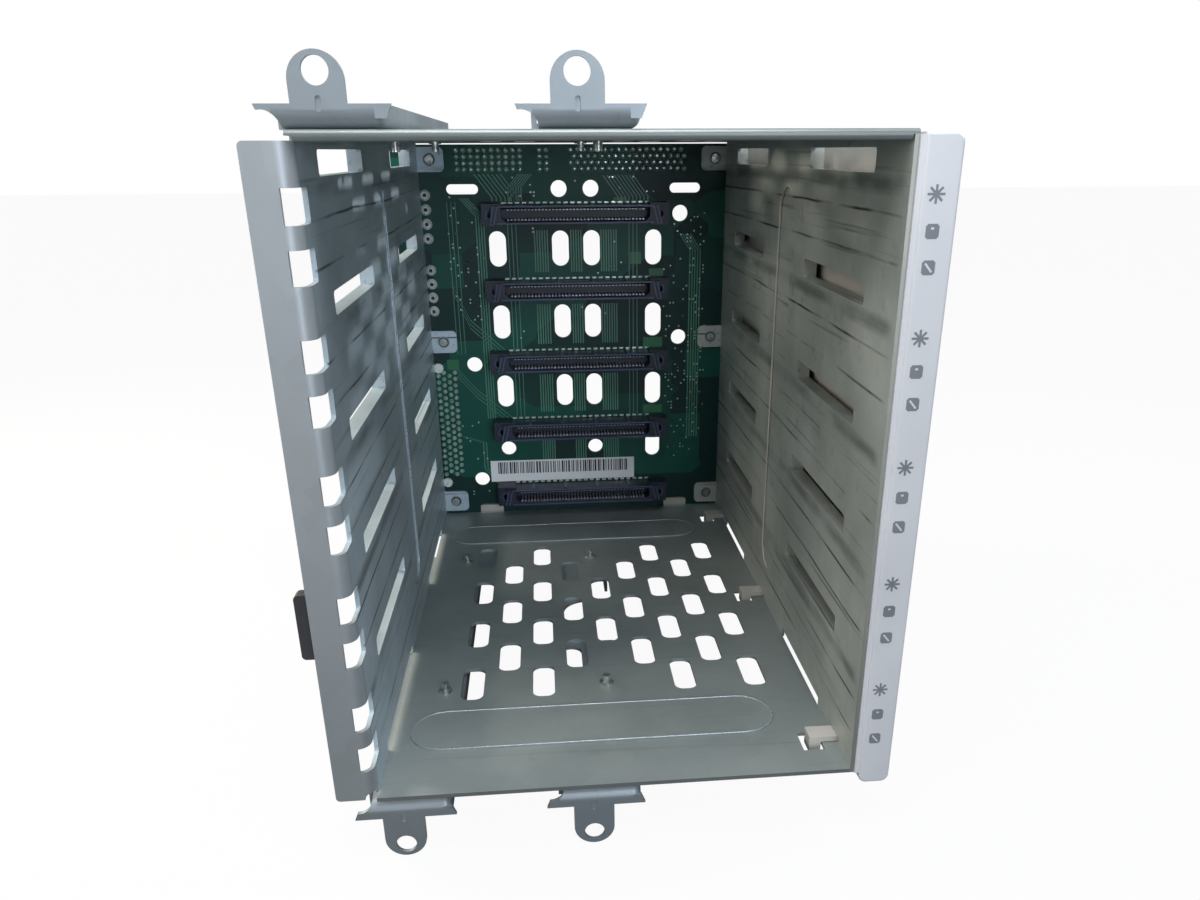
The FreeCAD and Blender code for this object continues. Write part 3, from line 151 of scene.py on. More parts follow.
def galvanised(name, light, dark, scuff_axis, scuffs=0.15, grime=0.15, rubbed=0.0,
               front="5E5B57", front_depth=0.12):
    """Zinc coated steel sheet: faint spangle, a cloudy film, scuffs along one axis.

    On the walls the drives have rubbed two dark lines into the sheet between the
    guides of each bay, and a darker band lies just under each guide. The front, up to
    front_depth millimetres behind the front plane, has its own colour: the bare cut
    edge, or the flange with its thinner coat, with painted shade that darkens it
    towards the foot.
    """
    made, tree = material(name)
    place = node(tree, "TexCoord").outputs["Object"]
    parts = node(tree, "SeparateXYZ", {0: place})
    depth = parts.outputs["Y"]

    cloud = node(tree, "TexNoise", {"Vector": place, "Scale": per_mm(FILM_CLOUD),
                                    "Detail": 5.0, "Roughness": 0.6})
    film = node(tree, "MapRange", {0: cloud, 1: 0.35, 2: 0.7})
    colour = node(tree, "Mix", {0: film, 6: paint(dark), 7: paint(light)},
                  data_type="RGBA").outputs[2]
    cell = node(tree, "TexVoronoi", {"Vector": place, "Scale": per_mm(SPANGLE)})
    cell = node(tree, "SeparateColor", {0: cell.outputs["Color"]})
    cell = node(tree, "MapRange", {0: cell, 3: 0.97, 4: 1.03})
    spangle = node(tree, "CombineColor", {0: cell, 1: cell, 2: cell})
    colour = node(tree, "Mix", {0: 1.0, 6: colour, 7: spangle}, data_type="RGBA",
                  blend_type="MULTIPLY").outputs[2]

    sizes = [SCUFF_LENGTH if axis == scuff_axis else SCUFF_WIDTH for axis in "XYZ"]
    along = node(tree, "Mapping", {"Vector": place, "Scale": [per_mm(size) for size in sizes]})
    streak = node(tree, "TexNoise", {"Vector": along, "Scale": 1.0, "Detail": 3.0,
                                     "Roughness": 0.55})
    streak = node(tree, "MapRange", {0: streak, 1: 0.60, 2: 0.74, 4: scuffs})
    colour = node(tree, "Mix", {0: streak, 6: colour, 7: paint("4A5351")},
                  data_type="RGBA").outputs[2]
    if rubbed:
        colour = rub_lines(tree, colour, place, rubbed)

    spots = node(tree, "TexNoise", {"Vector": place, "Scale": per_mm(SMUDGE), "Detail": 6.0,
                                    "Roughness": 0.7})
    spots = node(tree, "MapRange", {0: spots, 1: 0.58, 2: 0.78, 4: grime})
    inside = node(tree, "MapRange", {0: depth, 1: SMUDGE_START[0] * MM,
                                     2: SMUDGE_START[1] * MM, 3: 0.1})
    spots = node(tree, "Math", {0: spots, 1: inside}, operation="MULTIPLY")
    colour = node(tree, "Mix", {0: spots, 6: colour, 7: paint("5C6664")},
                  data_type="RGBA").outputs[2]

    edge = node(tree, "Mix", {0: 1.0, 6: paint(front), 7: spangle}, data_type="RGBA",
                blend_type="MULTIPLY").outputs[2]
    # Painted shade: lower down, the front's colour turns towards a dark grey, as the light on
    # the flange falls off towards its foot.
    low = node(tree, "MapRange", {0: parts.outputs["Z"], 1: FOOT_SHADE_SPAN[0] * MM,
                                  2: FOOT_SHADE_SPAN[1] * MM, 3: 0.34, 4: 0.0})
    edge = node(tree, "Mix", {0: low, 6: edge, 7: paint("565D5E")},
                data_type="RGBA").outputs[2]
    ahead = node(tree, "MapRange", {0: depth, 1: 0.3 * front_depth * MM,
                                    2: front_depth * MM, 3: 1.0, 4: 0.0})
    colour = node(tree, "Mix", {0: ahead, 6: colour, 7: edge}, data_type="RGBA").outputs[2]

    rough = node(tree, "MapRange", {0: cloud, 1: 0.3, 2: 0.75, 3: 0.36, 4: 0.5})
    grain = node(tree, "TexNoise", {"Vector": place, "Scale": per_mm(SHEET_GRAIN),
                                    "Detail": 3.0})
    bump = node(tree, "Bump", {"Height": grain, "Strength": 0.1,
                               "Distance": GRAIN_DEPTH * MM})
    surface = node(tree, "BsdfPrincipled", {"Base Color": colour, "Metallic": SHEET_METAL,
                                            "Roughness": rough, "Normal": bump})
    node(tree, "OutputMaterial", {"Surface": surface})
    return made


# Heights of the rub lines and of the darker band just under each guide, counted from
# the guide below them, and the stretches over which they fade, in millimetres.

GUIDE_LOW = 26.0
RUB_LINES = (10.4, 19.4)
RUB_HALF = (0.12, 0.42)
RUB_START = (1.2, 5.0)
RUB_WANDER = 60.0
RUB_PATCH = (20.0, 26.0, 7.0)
GUIDE_BAND_LINE = BAY_PITCH - 2.4
GUIDE_BAND_HALF = (0.6, 2.4)
WALL_SKIN = (0.2, 0.6)


def rub_lines(tree, colour, place, strength):
    """Thin dark lines along Y at two heights of each bay, and a darker band just under each
    guide.

    Both lie on the inner faces only, where the drives slide.
    """
    parts = node(tree, "SeparateXYZ", {0: place})
    above = ORIGIN.z - GUIDE_LOW + 2 * BAY_PITCH
    height = node(tree, "Math", {0: parts.outputs["Z"], 1: MM}, operation="DIVIDE")
    height = node(tree, "Math", {0: height, 1: above}, operation="ADD")
    height = node(tree, "Math", {0: height, 1: BAY_PITCH}, operation="MODULO")
    wander = node(tree, "TexNoise", {"Vector": place, "Scale": per_mm(RUB_WANDER),
                                     "Detail": 2.0})
    wander = node(tree, "MapRange", {0: wander, 1: 0.3, 2: 0.7, 3: -0.5, 4: 0.5})
    height = node(tree, "Math", {0: height, 1: wander}, operation="ADD")

    cells = node(tree, "Mapping", {"Vector": place,
                                   "Scale": [per_mm(size) for size in RUB_PATCH]})
    patchy = node(tree, "TexNoise", {"Vector": cells, "Scale": 1.0, "Detail": 3.0})
    patchy = node(tree, "MapRange", {0: patchy, 1: 0.36, 2: 0.6, 4: strength})
    behind = node(tree, "MapRange", {0: parts.outputs["Y"], 1: RUB_START[0] * MM,
                                     2: RUB_START[1] * MM})
    patchy = node(tree, "Math", {0: patchy, 1: behind}, operation="MULTIPLY")
    across = node(tree, "Math", {0: parts.outputs["X"], 1: (SOCKET_MIDDLE - ORIGIN.x) * MM},
                  operation="SUBTRACT")
    across = node(tree, "Math", {0: across}, operation="ABSOLUTE")
    inner = node(tree, "MapRange", {0: across, 1: (CAGE_WIDTH / 2 + WALL_SKIN[0]) * MM,
                                    2: (CAGE_WIDTH / 2 + WALL_SKIN[1]) * MM, 3: 1.0, 4: 0.0})
    patchy = node(tree, "Math", {0: patchy, 1: inner}, operation="MULTIPLY")

    marks = [(line, RUB_HALF, 1.0, "2B3331") for line in RUB_LINES]
    # A darker band just under each guide above.
    marks.append((GUIDE_BAND_LINE, GUIDE_BAND_HALF, 0.55, "3B4341"))
    for line, half, most, dark in marks:
        away = node(tree, "Math", {0: height, 1: line}, operation="SUBTRACT")
        away = node(tree, "Math", {0: away}, operation="ABSOLUTE")
        away = node(tree, "MapRange", {0: away, 1: half[0], 2: half[1], 3: most, 4: 0.0})
        mask = node(tree, "Math", {0: away, 1: patchy}, operation="MULTIPLY")
        colour = node(tree, "Mix", {0: mask, 6: colour, 7: paint(dark)},
                      data_type="RGBA").outputs[2]
    return colour


# Cells of the board's patterns along X, Y and Z. Y is so long that nothing changes
# through the board's thickness.

COPPER_PLANE = (31.0, 1000.0, 23.0)
VIA_SPACING = (3.4, 1000.0, 3.4)
WEAVE = 0.8


def solder_mask(name):
    """Green lacquer over copper: broad copper planes, faint weave and tiny plated vias."""
    made, tree = material(name)
    place = node(tree, "TexCoord").outputs["Object"]
    plane = node(tree, "Mapping", {"Vector": place,
                                   "Scale": [per_mm(size) for size in COPPER_PLANE]})
    plane = node(tree, "TexVoronoi", {"Vector": plane, "Scale": 1.0}, distance="CHEBYCHEV")
    plane = node(tree, "SeparateColor", {0: plane.outputs["Color"]})
    plane = node(tree, "MapRange", {0: plane, 1: 0.45, 2: 0.55})
    colour = node(tree, "Mix", {0: plane, 6: paint("06302C"), 7: paint("0C5044")},
                  data_type="RGBA").outputs[2]

    dots = node(tree, "Mapping", {"Vector": place,
                                  "Scale": [per_mm(size) for size in VIA_SPACING]})
    dots = node(tree, "TexVoronoi", {"Vector": dots, "Scale": 1.0, "Randomness": 0.9})
    near = node(tree, "MapRange", {0: dots.outputs["Distance"], 1: 0.07, 2: 0.11,
                                   3: 1.0, 4: 0.0})
    some = node(tree, "SeparateColor", {0: dots.outputs["Color"]})
    some = node(tree, "MapRange", {0: some.outputs["Green"], 1: 0.60, 2: 0.62})
    via = node(tree, "Math", {0: near, 1: some}, operation="MULTIPLY")
    colour = node(tree, "Mix", {0: via, 6: colour, 7: paint("8FB3A0")},
                  data_type="RGBA").outputs[2]

    weave = node(tree, "TexNoise", {"Vector": place, "Scale": per_mm(WEAVE), "Detail": 2.0})
    bump = node(tree, "Bump", {"Height": weave, "Strength": 0.15,
                               "Distance": GRAIN_DEPTH * MM})
    surface = node(tree, "BsdfPrincipled", {"Base Color": colour, "Roughness": 0.4,
                                            "Normal": bump, "Specular IOR Level": 0.3})
    node(tree, "OutputMaterial", {"Surface": surface})
    return made


TONE_CLOUD = 24.0


def moulded(name, light, dark, rough, grit, extra=None):
    """Injection moulded plastic: a fine spark eroded grain and a little uneven tone."""
    made, tree = material(name)
    place = node(tree, "TexCoord").outputs["Object"]
    tone = node(tree, "TexNoise", {"Vector": place, "Scale": per_mm(TONE_CLOUD),
                                   "Detail": 4.0})
    tone = node(tree, "MapRange", {0: tone, 1: 0.35, 2: 0.7})
    colour = node(tree, "Mix", {0: tone, 6: paint(dark), 7: paint(light)},
                  data_type="RGBA").outputs[2]
    grain = node(tree, "TexNoise", {"Vector": place, "Scale": per_mm(grit), "Detail": 2.0})
    bump = node(tree, "Bump", {"Height": grain, "Strength": 0.25,
                               "Distance": GRAIN_DEPTH * MM})
    uneven = node(tree, "MapRange", {0: grain, 1: 0.3, 2: 0.7, 3: rough - 0.05,
                                     4: rough + 0.05})
    surface = node(tree, "BsdfPrincipled", {"Base Color": colour, "Roughness": uneven,
                                            "Normal": bump, **(extra or {})})
    node(tree, "OutputMaterial", {"Surface": surface})
    return made


SMEAR = 1.6


def plated(name, light, dark, rough, metal=0.5):
    """Bright metal plating with soft smears."""
    made, tree = material(name)
    place = node(tree, "TexCoord").outputs["Object"]
    smear = node(tree, "TexNoise", {"Vector": place, "Scale": per_mm(SMEAR), "Detail": 4.0})
    smear = node(tree, "MapRange", {0: smear, 1: 0.35, 2: 0.7})
    colour = node(tree, "Mix", {0: smear, 6: paint(dark), 7: paint(light)},
                  data_type="RGBA").outputs[2]
    uneven = node(tree, "MapRange", {0: smear, 3: rough + 0.08, 4: rough - 0.06})
    surface = node(tree, "BsdfPrincipled", {"Base Color": colour, "Metallic": metal,
                                            "Roughness": uneven})
    node(tree, "OutputMaterial", {"Surface": surface})
    return made


# Grey zinc sheet, partly tinted by a painted cool cast of the daylight on this wall: smoky film,
# dark rub lines of the drives, a paler flange.
LEFT = galvanised("galvanised_sheet_left_wall", "C6D6DE", "AEBDC5", "Y", scuffs=0.5,
                  grime=0.3, rubbed=0.9, front="A6ADB0", front_depth=4.5)
# The same sheet in a greener grey, partly a painted warm cast of the room light on this wall,
# with more smudges and rub lines.
RIGHT = galvanised("galvanised_sheet_right_wall", "C6CBC4", "ACB1AA", "Y", scuffs=0.7,
                   grime=0.5, rubbed=1.0, front="96978F")
# Smooth grey green sheet of the floor, hardly touched.
PANEL = galvanised("galvanised_sheet_panel", "A3ACAA", "929B9A", "X", front="7C827F")
# Darker and duller sheet of the top.
TOP = galvanised("galvanised_sheet_top", "8E9694", "7F8786", "X", front="727876")
# Plain grey sheet of the drawn rails and their ears.
RAIL = galvanised("galvanised_sheet_rail", "9DA6AB", "8B9499", "Z", front="8F989D")
# Deep green lacquer, satin, over darker and lighter copper planes.
BOARD = solder_mask("solder_mask_green")
# Fine lighter green lines: copper traces that show through the lacquer.
TRACE = moulded("lacquered_copper_trace", "58967B", "447C66", 0.35, 0.6)
# Small bright green patches: wide copper under the lacquer.
COPPER = moulded("lacquered_copper_area", "2C7A4E", "246B44", 0.35, 0.9)
# Blue black satin plastic of sockets and headers.
NYLON = moulded("black_glass_filled_nylon", "1F283C", "131927", 0.4, 0.5)
# The sockets' ribs and rims in a lighter blue: a painted highlight along their edges, which
# draws their outlines.
RIB_HIGHLIGHT = moulded("nylon_edge_highlight", "4A5878", "38445F", 0.35, 0.5)
# Cream plastic of the power headers.
PALE = moulded("natural_nylon", "DDD8CA", "CFC9B8", 0.45, 0.6)
# Clean white plastic of the front strip, with a fine grain.
STRIP = moulded("white_abs_strip", "CED0D2", "C6C8CB", 0.5, 0.4)
# Pale warm grey plastic of the light guide carrier and its hooks.
TAN = moulded("tan_abs_carrier", "C9C6BF", "B9B5AD", 0.5, 0.5)
# Soft grey print of the signs on the strip.
MARK = moulded("grey_pad_print", "7C8085", "6E7277", 0.6, 0.4)
# Dull white paper of the label.
PAPER = moulded("white_paper_label", "F4F5F6", "EAECEE", 0.7, 0.5)
# Black ink of the label's bars. The same black paints the shade inside the hollow ends of the
# power pins.
INK_AND_BORE_SHADE = moulded("black_label_ink_and_bore_shade", "323438", "292B2F", 0.6, 0.4)
# Dull black rubber.
RUBBER = moulded("black_rubber_lug", "3C3D3F", "2B2C2E", 0.7, 0.6)
# Clear, faintly grey plastic of light guides and lamps.
CLEAR = moulded("clear_acrylic_guide", "E6ECEE", "DDE4E7", 0.12, 0.8,
                extra={"Transmission Weight": 0.85, "IOR": 1.49})
# Bright solder with a green cast from the lacquer round it.
SOLDER = plated("tin_lead_solder", "F2FBF5", "8DB59D", 0.28)
# Plain bright tin of the big round joints and of the side header's rivets.
TINNED = plated("bright_tinned_pad", "F6F8F5", "D4DBD5", 0.3, metal=0.3)
# Grey glint of the contacts in the mouths of the sockets.
CONTACT = plated("tinned_contact", "CDD2DA", "9CA2AC", 0.35)
# Bright zinc of screws and rivets, smeared dark in places.
ZINC = plated("zinc_plated_screw", "E6EAE6", "8A908C", 0.3, metal=0.85)
# Thin bright line where a bead's edge catches the light.
DRAWN = plated("drawn_zinc_edge", "C3CCD2", "A3ADB3", 0.3)
# Warm pale grey that paints a glint on zinc: on the right bead's edge and on the stops' faces.
PAINTED_GLINT = moulded("painted_glint_zinc", "C9C5B9", "B3AEA2", 0.45, 0.8)

FINISH = {
    "left_side_wall": LEFT, "right_side_wall": RIGHT, "floor_panel": PANEL, "top_panel": TOP,
    "top_rail_left": RAIL, "top_rail_right": RAIL, "bottom_rail_left": RAIL,
    "bottom_rail_right": RAIL, "rail_rivets": ZINC, "board_screws": ZINC,
    "side_header_rivets": TINNED, "backplane_board": BOARD, "side_header": NYLON,
    "top_header_wide": NYLON, "top_header_narrow": NYLON, "top_header_small": NYLON,
    "power_header_lower": PALE, "power_header_upper": PALE, "power_pins": SOLDER,
    "light_strip": STRIP, "light_guide_carrier": TAN, "light_guides": CLEAR,
    "status_lamps": CLEAR, "side_lug": RUBBER,
}
for number in range(1, BAYS + 1):
    FINISH["drive_socket_" + str(number)] = NYLON
for name, item in NODES.items():
    item.data.materials.clear()
    item.data.materials.append(FINISH[name])


# Modelling tools. Each piece is made in place, with its object left at the origin.

FACING_FRONT = (math.radians(90), 0, 0)


def deselect():
    bpy.ops.object.select_all(action="DESELECT")


def pick(piece):
    """Make one piece the only one selected, and the active one."""
    deselect()
    piece.select_set(True)
    bpy.context.view_layer.objects.active = piece


def settled():
    """The active piece, with its place, turn and size put into its mesh."""
    bpy.ops.object.transform_apply(location=True, rotation=True, scale=True)
    return bpy.context.object


def keep(piece, name, finish):
    """Name a finished piece, give it its finish and let it ride."""
    pick(piece)
    settled()
    piece.name = name
    piece.data.name = name
    piece.data.materials.clear()
    piece.data.materials.append(finish)
    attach(piece, "root")


def block(low, high):
    """A box between two corners."""
    deselect()
    low, high = at(*low), at(*high)
    bpy.ops.mesh.primitive_cube_add(size=1.0, location=(low + high) / 2)
    bpy.context.object.scale = high - low
    return settled()


def stud(foot, radius, tip_radius, height, sides=10):
    """A turned stub that points to the front from its foot."""
    deselect()
    bpy.ops.mesh.primitive_cone_add(
        vertices=sides, radius1=radius * MM, radius2=tip_radius * MM, depth=height * MM,
        location=at(foot[0], foot[1] - height / 2, foot[2]), rotation=FACING_FRONT)
    return settled()


def ring(centre, radius, tube_radius, sides=20, tube_sides=6):
    """A torus that faces the front."""
    deselect()
    bpy.ops.mesh.primitive_torus_add(
        location=at(*centre), rotation=FACING_FRONT, major_radius=radius * MM,
        minor_radius=tube_radius * MM, major_segments=sides, minor_segments=tube_sides)
    return settled()


def turned(piece, angle, centre):
    """Turn a piece about an axis along Y through a centre, in degrees."""
    pick(piece)
    bpy.ops.object.mode_set(mode="EDIT")
    bpy.ops.mesh.select_all(action="SELECT")
    bpy.ops.transform.rotate(value=math.radians(angle), orient_axis="Y",
                             center_override=at(*centre))
    bpy.ops.object.mode_set(mode="OBJECT")
    return piece


def wire(places, radius):
    """A closed round ridge through the given places."""
    curve = bpy.data.curves.new("ridge", "CURVE")
    curve.dimensions = "3D"
    line = curve.splines.new("POLY")
    line.points.add(len(places) - 1)
    for point, place in zip(line.points, places):
        point.co = (*at(*place), 1.0)
    line.use_cyclic_u = True
    curve.bevel_depth = radius * MM
    curve.bevel_resolution = 2
    piece = bpy.data.objects.new("ridge", curve)
    bpy.context.scene.collection.objects.link(piece)
    pick(piece)
    bpy.ops.object.convert(target="MESH")
    bpy.ops.object.shade_smooth()
    return bpy.context.object


def row(piece, count, step):
    """Repeat a piece in a row, by a step along X, Y and Z."""
    pick(piece)
    array = piece.modifiers.new("row", "ARRAY")
    array.count = count
    array.use_relative_offset = False
    array.use_constant_offset = True
    array.constant_offset_displace = Vector(step) * MM
    bpy.ops.object.modifier_apply(modifier=array.name)
    return piece


def join(pieces):
    deselect()
    for piece in pieces:
        piece.select_set(True)
    bpy.context.view_layer.objects.active = pieces[0]
    bpy.ops.object.join()
    return bpy.context.object


# Drive sockets: contacts in the mouth, solder tails above it, and moulded ribs round
# it. X counts from the middle, depths from the socket's front, heights from its middle.

CONTACTS = 40
CONTACT_PITCH = 1.27
CONTACT_HALF = 0.3
CONTACT_THICK = 0.45
CONTACT_DEPTHS = (1.2, 6.8)
MOUTH_HALF = 2.0
FIRST_CONTACT = -CONTACT_PITCH * (CONTACTS - 1) / 2
TAILS = 22
TAIL_LEAD = 2.4
TAIL_WIDTH = 1.5
TAIL_LIFTS = (0.5, 0.02)
TAIL_HEIGHTS = (3.5, 4.1)
RIB_HALF = 0.25
RIB_DEPTHS = (-0.45, 0.02)
LONG_RIB_HALF = 28.6
LONG_RIB_HEIGHT = 2.95
SLANTED_RIBS = (29.2, 30.6)
SLANTED_RIB_HALF = 3.1
SLANT = 14
LATCH_X = 30.8
LATCH_HALF = 0.9
LATCH_DEPTHS = (1.2, 1.62)
LATCH_HEIGHTS = (-3.7, -2.5)
EYE_X = 30.8924
EYE_DEPTH = 1.55
EYE_RADIUS = 1.75
EYE_TUBE = 0.3
KEYS = (-20.0, -7.0, 6.0, 19.0)
KEY_HALF = 0.5
KEY_DEPTHS = (0.4, 8.0)
KEY_HEIGHTS = (3.18, 3.6)


def socket_block(middle, x, half, depths, heights):
    """A block on a socket, half its width to either side of x."""
    return block((SOCKET_MIDDLE + x - half, SOCKET_FRONT + depths[0], middle + heights[0]),
                 (SOCKET_MIDDLE + x + half, SOCKET_FRONT + depths[1], middle + heights[1]))


def socket_contacts(middle):
    """Two facing rows of contact leaves, just inside the mouth."""
    rows = []
    for side in (-1, 1):
        heights = sorted((side * MOUTH_HALF, side * (MOUTH_HALF - CONTACT_THICK)))
        leaf = socket_block(middle, FIRST_CONTACT, CONTACT_HALF, CONTACT_DEPTHS, heights)
        rows.append(row(leaf, CONTACTS, (CONTACT_PITCH, 0, 0)))
    return join(rows)


def socket_tails(middle):
    """The row of tails on the board, just above the socket."""
    left = SOCKET_MIDDLE + FIRST_CONTACT - TAIL_LEAD
    tail = block((left, BOARD_FACE - TAIL_LIFTS[0], middle + TAIL_HEIGHTS[0]),
                 (left + TAIL_WIDTH, BOARD_FACE - TAIL_LIFTS[1], middle + TAIL_HEIGHTS[1]))
    return row(tail, TAILS, (2 * CONTACT_PITCH, 0, 0))


def socket_ribs(middle):
    """Ribs round the mouth, an eye and a step at each end, and keys on the top."""
    ribs = []
    for height in (-LONG_RIB_HEIGHT, LONG_RIB_HEIGHT):
        ribs.append(socket_block(middle, 0.0, LONG_RIB_HALF, RIB_DEPTHS,
                                 (height - RIB_HALF, height + RIB_HALF)))
    for x in SLANTED_RIBS:
        for side in (-1, 1):
            bar = socket_block(middle, side * x, RIB_HALF, RIB_DEPTHS,
                               (-SLANTED_RIB_HALF, SLANTED_RIB_HALF))
            centre = (SOCKET_MIDDLE + side * x, SOCKET_FRONT, middle)
            ribs.append(turned(bar, side * SLANT, centre))
    for side in (-1, 1):
        eye = (SOCKET_MIDDLE + side * EYE_X, SOCKET_FRONT + EYE_DEPTH, middle)
        ribs.append(ring(eye, EYE_RADIUS, EYE_TUBE))
        ribs.append(socket_block(middle, side * LATCH_X, LATCH_HALF, LATCH_DEPTHS,
                                 LATCH_HEIGHTS))
    for x in KEYS:
        ribs.append(socket_block(middle, x, KEY_HALF, KEY_DEPTHS, KEY_HEIGHTS))
    return join(ribs)


for number in range(1, BAYS + 1):
    middle = SOCKET_LOW + BAY_PITCH * (BAYS - number)
    keep(socket_contacts(middle), "socket_contacts_" + str(number), CONTACT)
    keep(socket_tails(middle), "socket_tails_" + str(number), SOLDER)
    keep(socket_ribs(middle), "socket_ribs_" + str(number), RIB_HIGHLIGHT)


# Solder joints of the ribbon headers, and of the power pins, whose hollow ends are a ring round
# a disc of painted shade.

PIN_PITCH = 2.54
ROW_PITCH = 2.15
JOINT_ROWS = 4
POWER_PIN_X = 1.7
POWER_PIN_LOWS = (82.68, 109.28)
POWER_PINS = 4
POWER_PITCH = 5.08
POWER_PIN_END = BOARD_FACE - 1.0


def header_joints(name, x, z, columns, upright=False, shift=0.0):
    """Rows of solder joints from one corner; every other row is shifted."""
    rows = []
    for line in range(JOINT_ROWS):
        offset = shift * (line % 2)
        if upright:
            foot = (x + line * ROW_PITCH, BOARD_FACE, z + offset)
            step = (0, 0, PIN_PITCH)
        else:
            foot = (x + offset, BOARD_FACE, z - line * ROW_PITCH)
            step = (PIN_PITCH, 0, 0)
        joint = stud(foot, radius=0.92, tip_radius=0.34, height=1.0)
        rows.append(row(joint, columns, step))
    keep(join(rows), name, SOLDER)


header_joints("joints_top_narrow", x=14.0, z=139.6, columns=10)
header_joints("joints_top_small", x=44.0, z=139.6, columns=2)
header_joints("joints_top_wide", x=55.3, z=139.7, columns=17, shift=PIN_PITCH / 2)
header_joints("joints_side", x=1.2, z=17.0, columns=17, upright=True, shift=PIN_PITCH / 2)

power_step = (0, 0, POWER_PITCH)
joints = []
bore_shades = []
for low in POWER_PIN_LOWS:
    foot = (POWER_PIN_X, BOARD_FACE, low)
    end = (POWER_PIN_X, POWER_PIN_END, low)
    cone = stud(foot, radius=1.95, tip_radius=1.25, height=0.8, sides=20)
    joints.append(row(cone, POWER_PINS, power_step))
    joints.append(row(ring(end, radius=0.95, tube_radius=0.28), POWER_PINS, power_step))
    # A flat black disc in each pin's end: painted shade that stands in for the dark inside of
    # its hollow.
    bore_shade = stud(end, radius=0.72, tip_radius=0.72, height=0.03, sides=16)
    bore_shades.append(row(bore_shade, POWER_PINS, power_step))
keep(join(joints), "joints_power", TINNED)
keep(join(bore_shades), "joints_power_bore_shade", INK_AND_BORE_SHADE)


# Copper traces under the lacquer, as bundles of ribbons.

TRACE_LIFT = 0.04
TRACE_WIDTH = 0.45
FINE_TRACE = 0.3
TRACE_STEP = 0.95
SOCKET_ROOM = 6.0
END_REACH = 0.6


def extrude_end(piece, end, reach, move):
    """Extrude the ribbon's edge that lies within reach of its end."""
    bpy.ops.object.mode_set(mode="EDIT")
    bpy.ops.mesh.select_all(action="DESELECT")
    bpy.ops.object.mode_set(mode="OBJECT")
    for vertex in piece.data.vertices:
        vertex.select = (vertex.co - end).length < reach
    for edge in piece.data.edges:
        edge.select = all(piece.data.vertices[corner].select for corner in edge.vertices)
    bpy.ops.object.mode_set(mode="EDIT")
    bpy.ops.mesh.extrude_region_move(TRANSFORM_OT_translate={"value": move})
    bpy.ops.object.mode_set(mode="OBJECT")


def bundle(name, path, count, step, width=TRACE_WIDTH):
    """A ribbon along a path of (x, z) corners, repeated by a step along X and Z."""
    deselect()
    bpy.ops.mesh.primitive_plane_add(size=1.0, location=(0, 0, 0))
    piece = bpy.context.object
    across = (width / 2, 0.0) if abs(step[0]) > abs(step[1]) else (0.0, width / 2)
    corners = [(x + side * across[0], z + side * across[1])
               for x, z in path[:2] for side in (-1, 1)]
    y = BOARD_FACE - TRACE_LIFT
    for vertex, (x, z) in zip(piece.data.vertices, corners):
        vertex.co = at(x, y, z)
    piece.data.update()
    for (x0, z0), (x1, z1) in zip(path[1:], path[2:]):
        end = at(x0, y, z0)
        extrude_end(piece, end, width * END_REACH * MM, at(x1, y, z1) - end)
    row(piece, count, (step[0], 0, step[1]))
    keep(piece, name, TRACE)


for gap in range(BAYS - 1):
    low = SOCKET_LOW + BAY_PITCH * gap + SOCKET_ROOM
    high = low + BAY_PITCH - 2 * SOCKET_ROOM
    for place, x, count in (("mid", 54.6, 5), ("left", 41.0, 6), ("right", 66.0, 7)):
        bundle("traces_" + place + "_" + str(gap + 1), [(x, low), (x, high)], count,
               (TRACE_STEP, 0))
bundle("traces_fan_left", [(20.0, 131.5), (26.0, 123.5), (26.0, 122.2)], 7, (1.6, 0))
bundle("traces_fan_mid", [(36.0, 131.5), (32.0, 127.0), (32.0, 122.2)], 6, (TRACE_STEP, 0))
bundle("traces_fan_right", [(67.0, 131.0), (72.5, 123.5), (72.5, 122.2)], 9, (1.4, 0))
bundle("traces_edge_left", [(14.0, 123.4), (19.6, 117.0), (19.6, 40.0)], 4, (TRACE_STEP, 0))
bundle("traces_edge_right", [(96.0, 110.0), (100.0, 104.0), (100.0, 30.0)], 5, (1.0, 0))
for number, (x, low) in enumerate(((9.4, 66.0), (31.2, 30.0), (76.6, 30.0)), 1):
    bundle("traces_long_" + str(number), [(x, low), (x, 122.0)], 3, (1.5, 0), FINE_TRACE)
bundle("traces_low_left", [(30.0, 62.0), (15.0, 76.0), (9.0, 90.0)], 3, (0, 1.6), 0.4)
bundle("traces_low_mid", [(31.0, 35.5), (16.0, 48.5), (8.5, 57.5)], 3, (0, 1.6), 0.4)
bundle("traces_low_far", [(23.0, 11.0), (17.0, 19.0), (17.0, 30.0), (8.0, 33.0)], 2, (1.2, 0))


# Patches of wide copper: left, foot, right and top of each.

COPPER_AREAS = (
    (77.0, 99.2, 81.2, 103.6), (84.2, 94.2, 89.8, 97.4), (82.0, 66.2, 89.6, 71.2),
    (82.0, 40.6, 89.6, 44.0), (71.0, 119.0, 76.0, 123.2), (5.0, 60.0, 9.5, 64.0))
COPPER_LIFTS = (0.03, 0.005)

for number, (left, foot, right, top) in enumerate(COPPER_AREAS, 1):
    area = block((left, BOARD_FACE - COPPER_LIFTS[0], foot),
                 (right, BOARD_FACE - COPPER_LIFTS[1], top))
    keep(area, "copper_area_" + str(number), COPPER)


# Vias: small plated dots on a grid, in fields of random density. None lies in an
# opening of the board or under a socket.

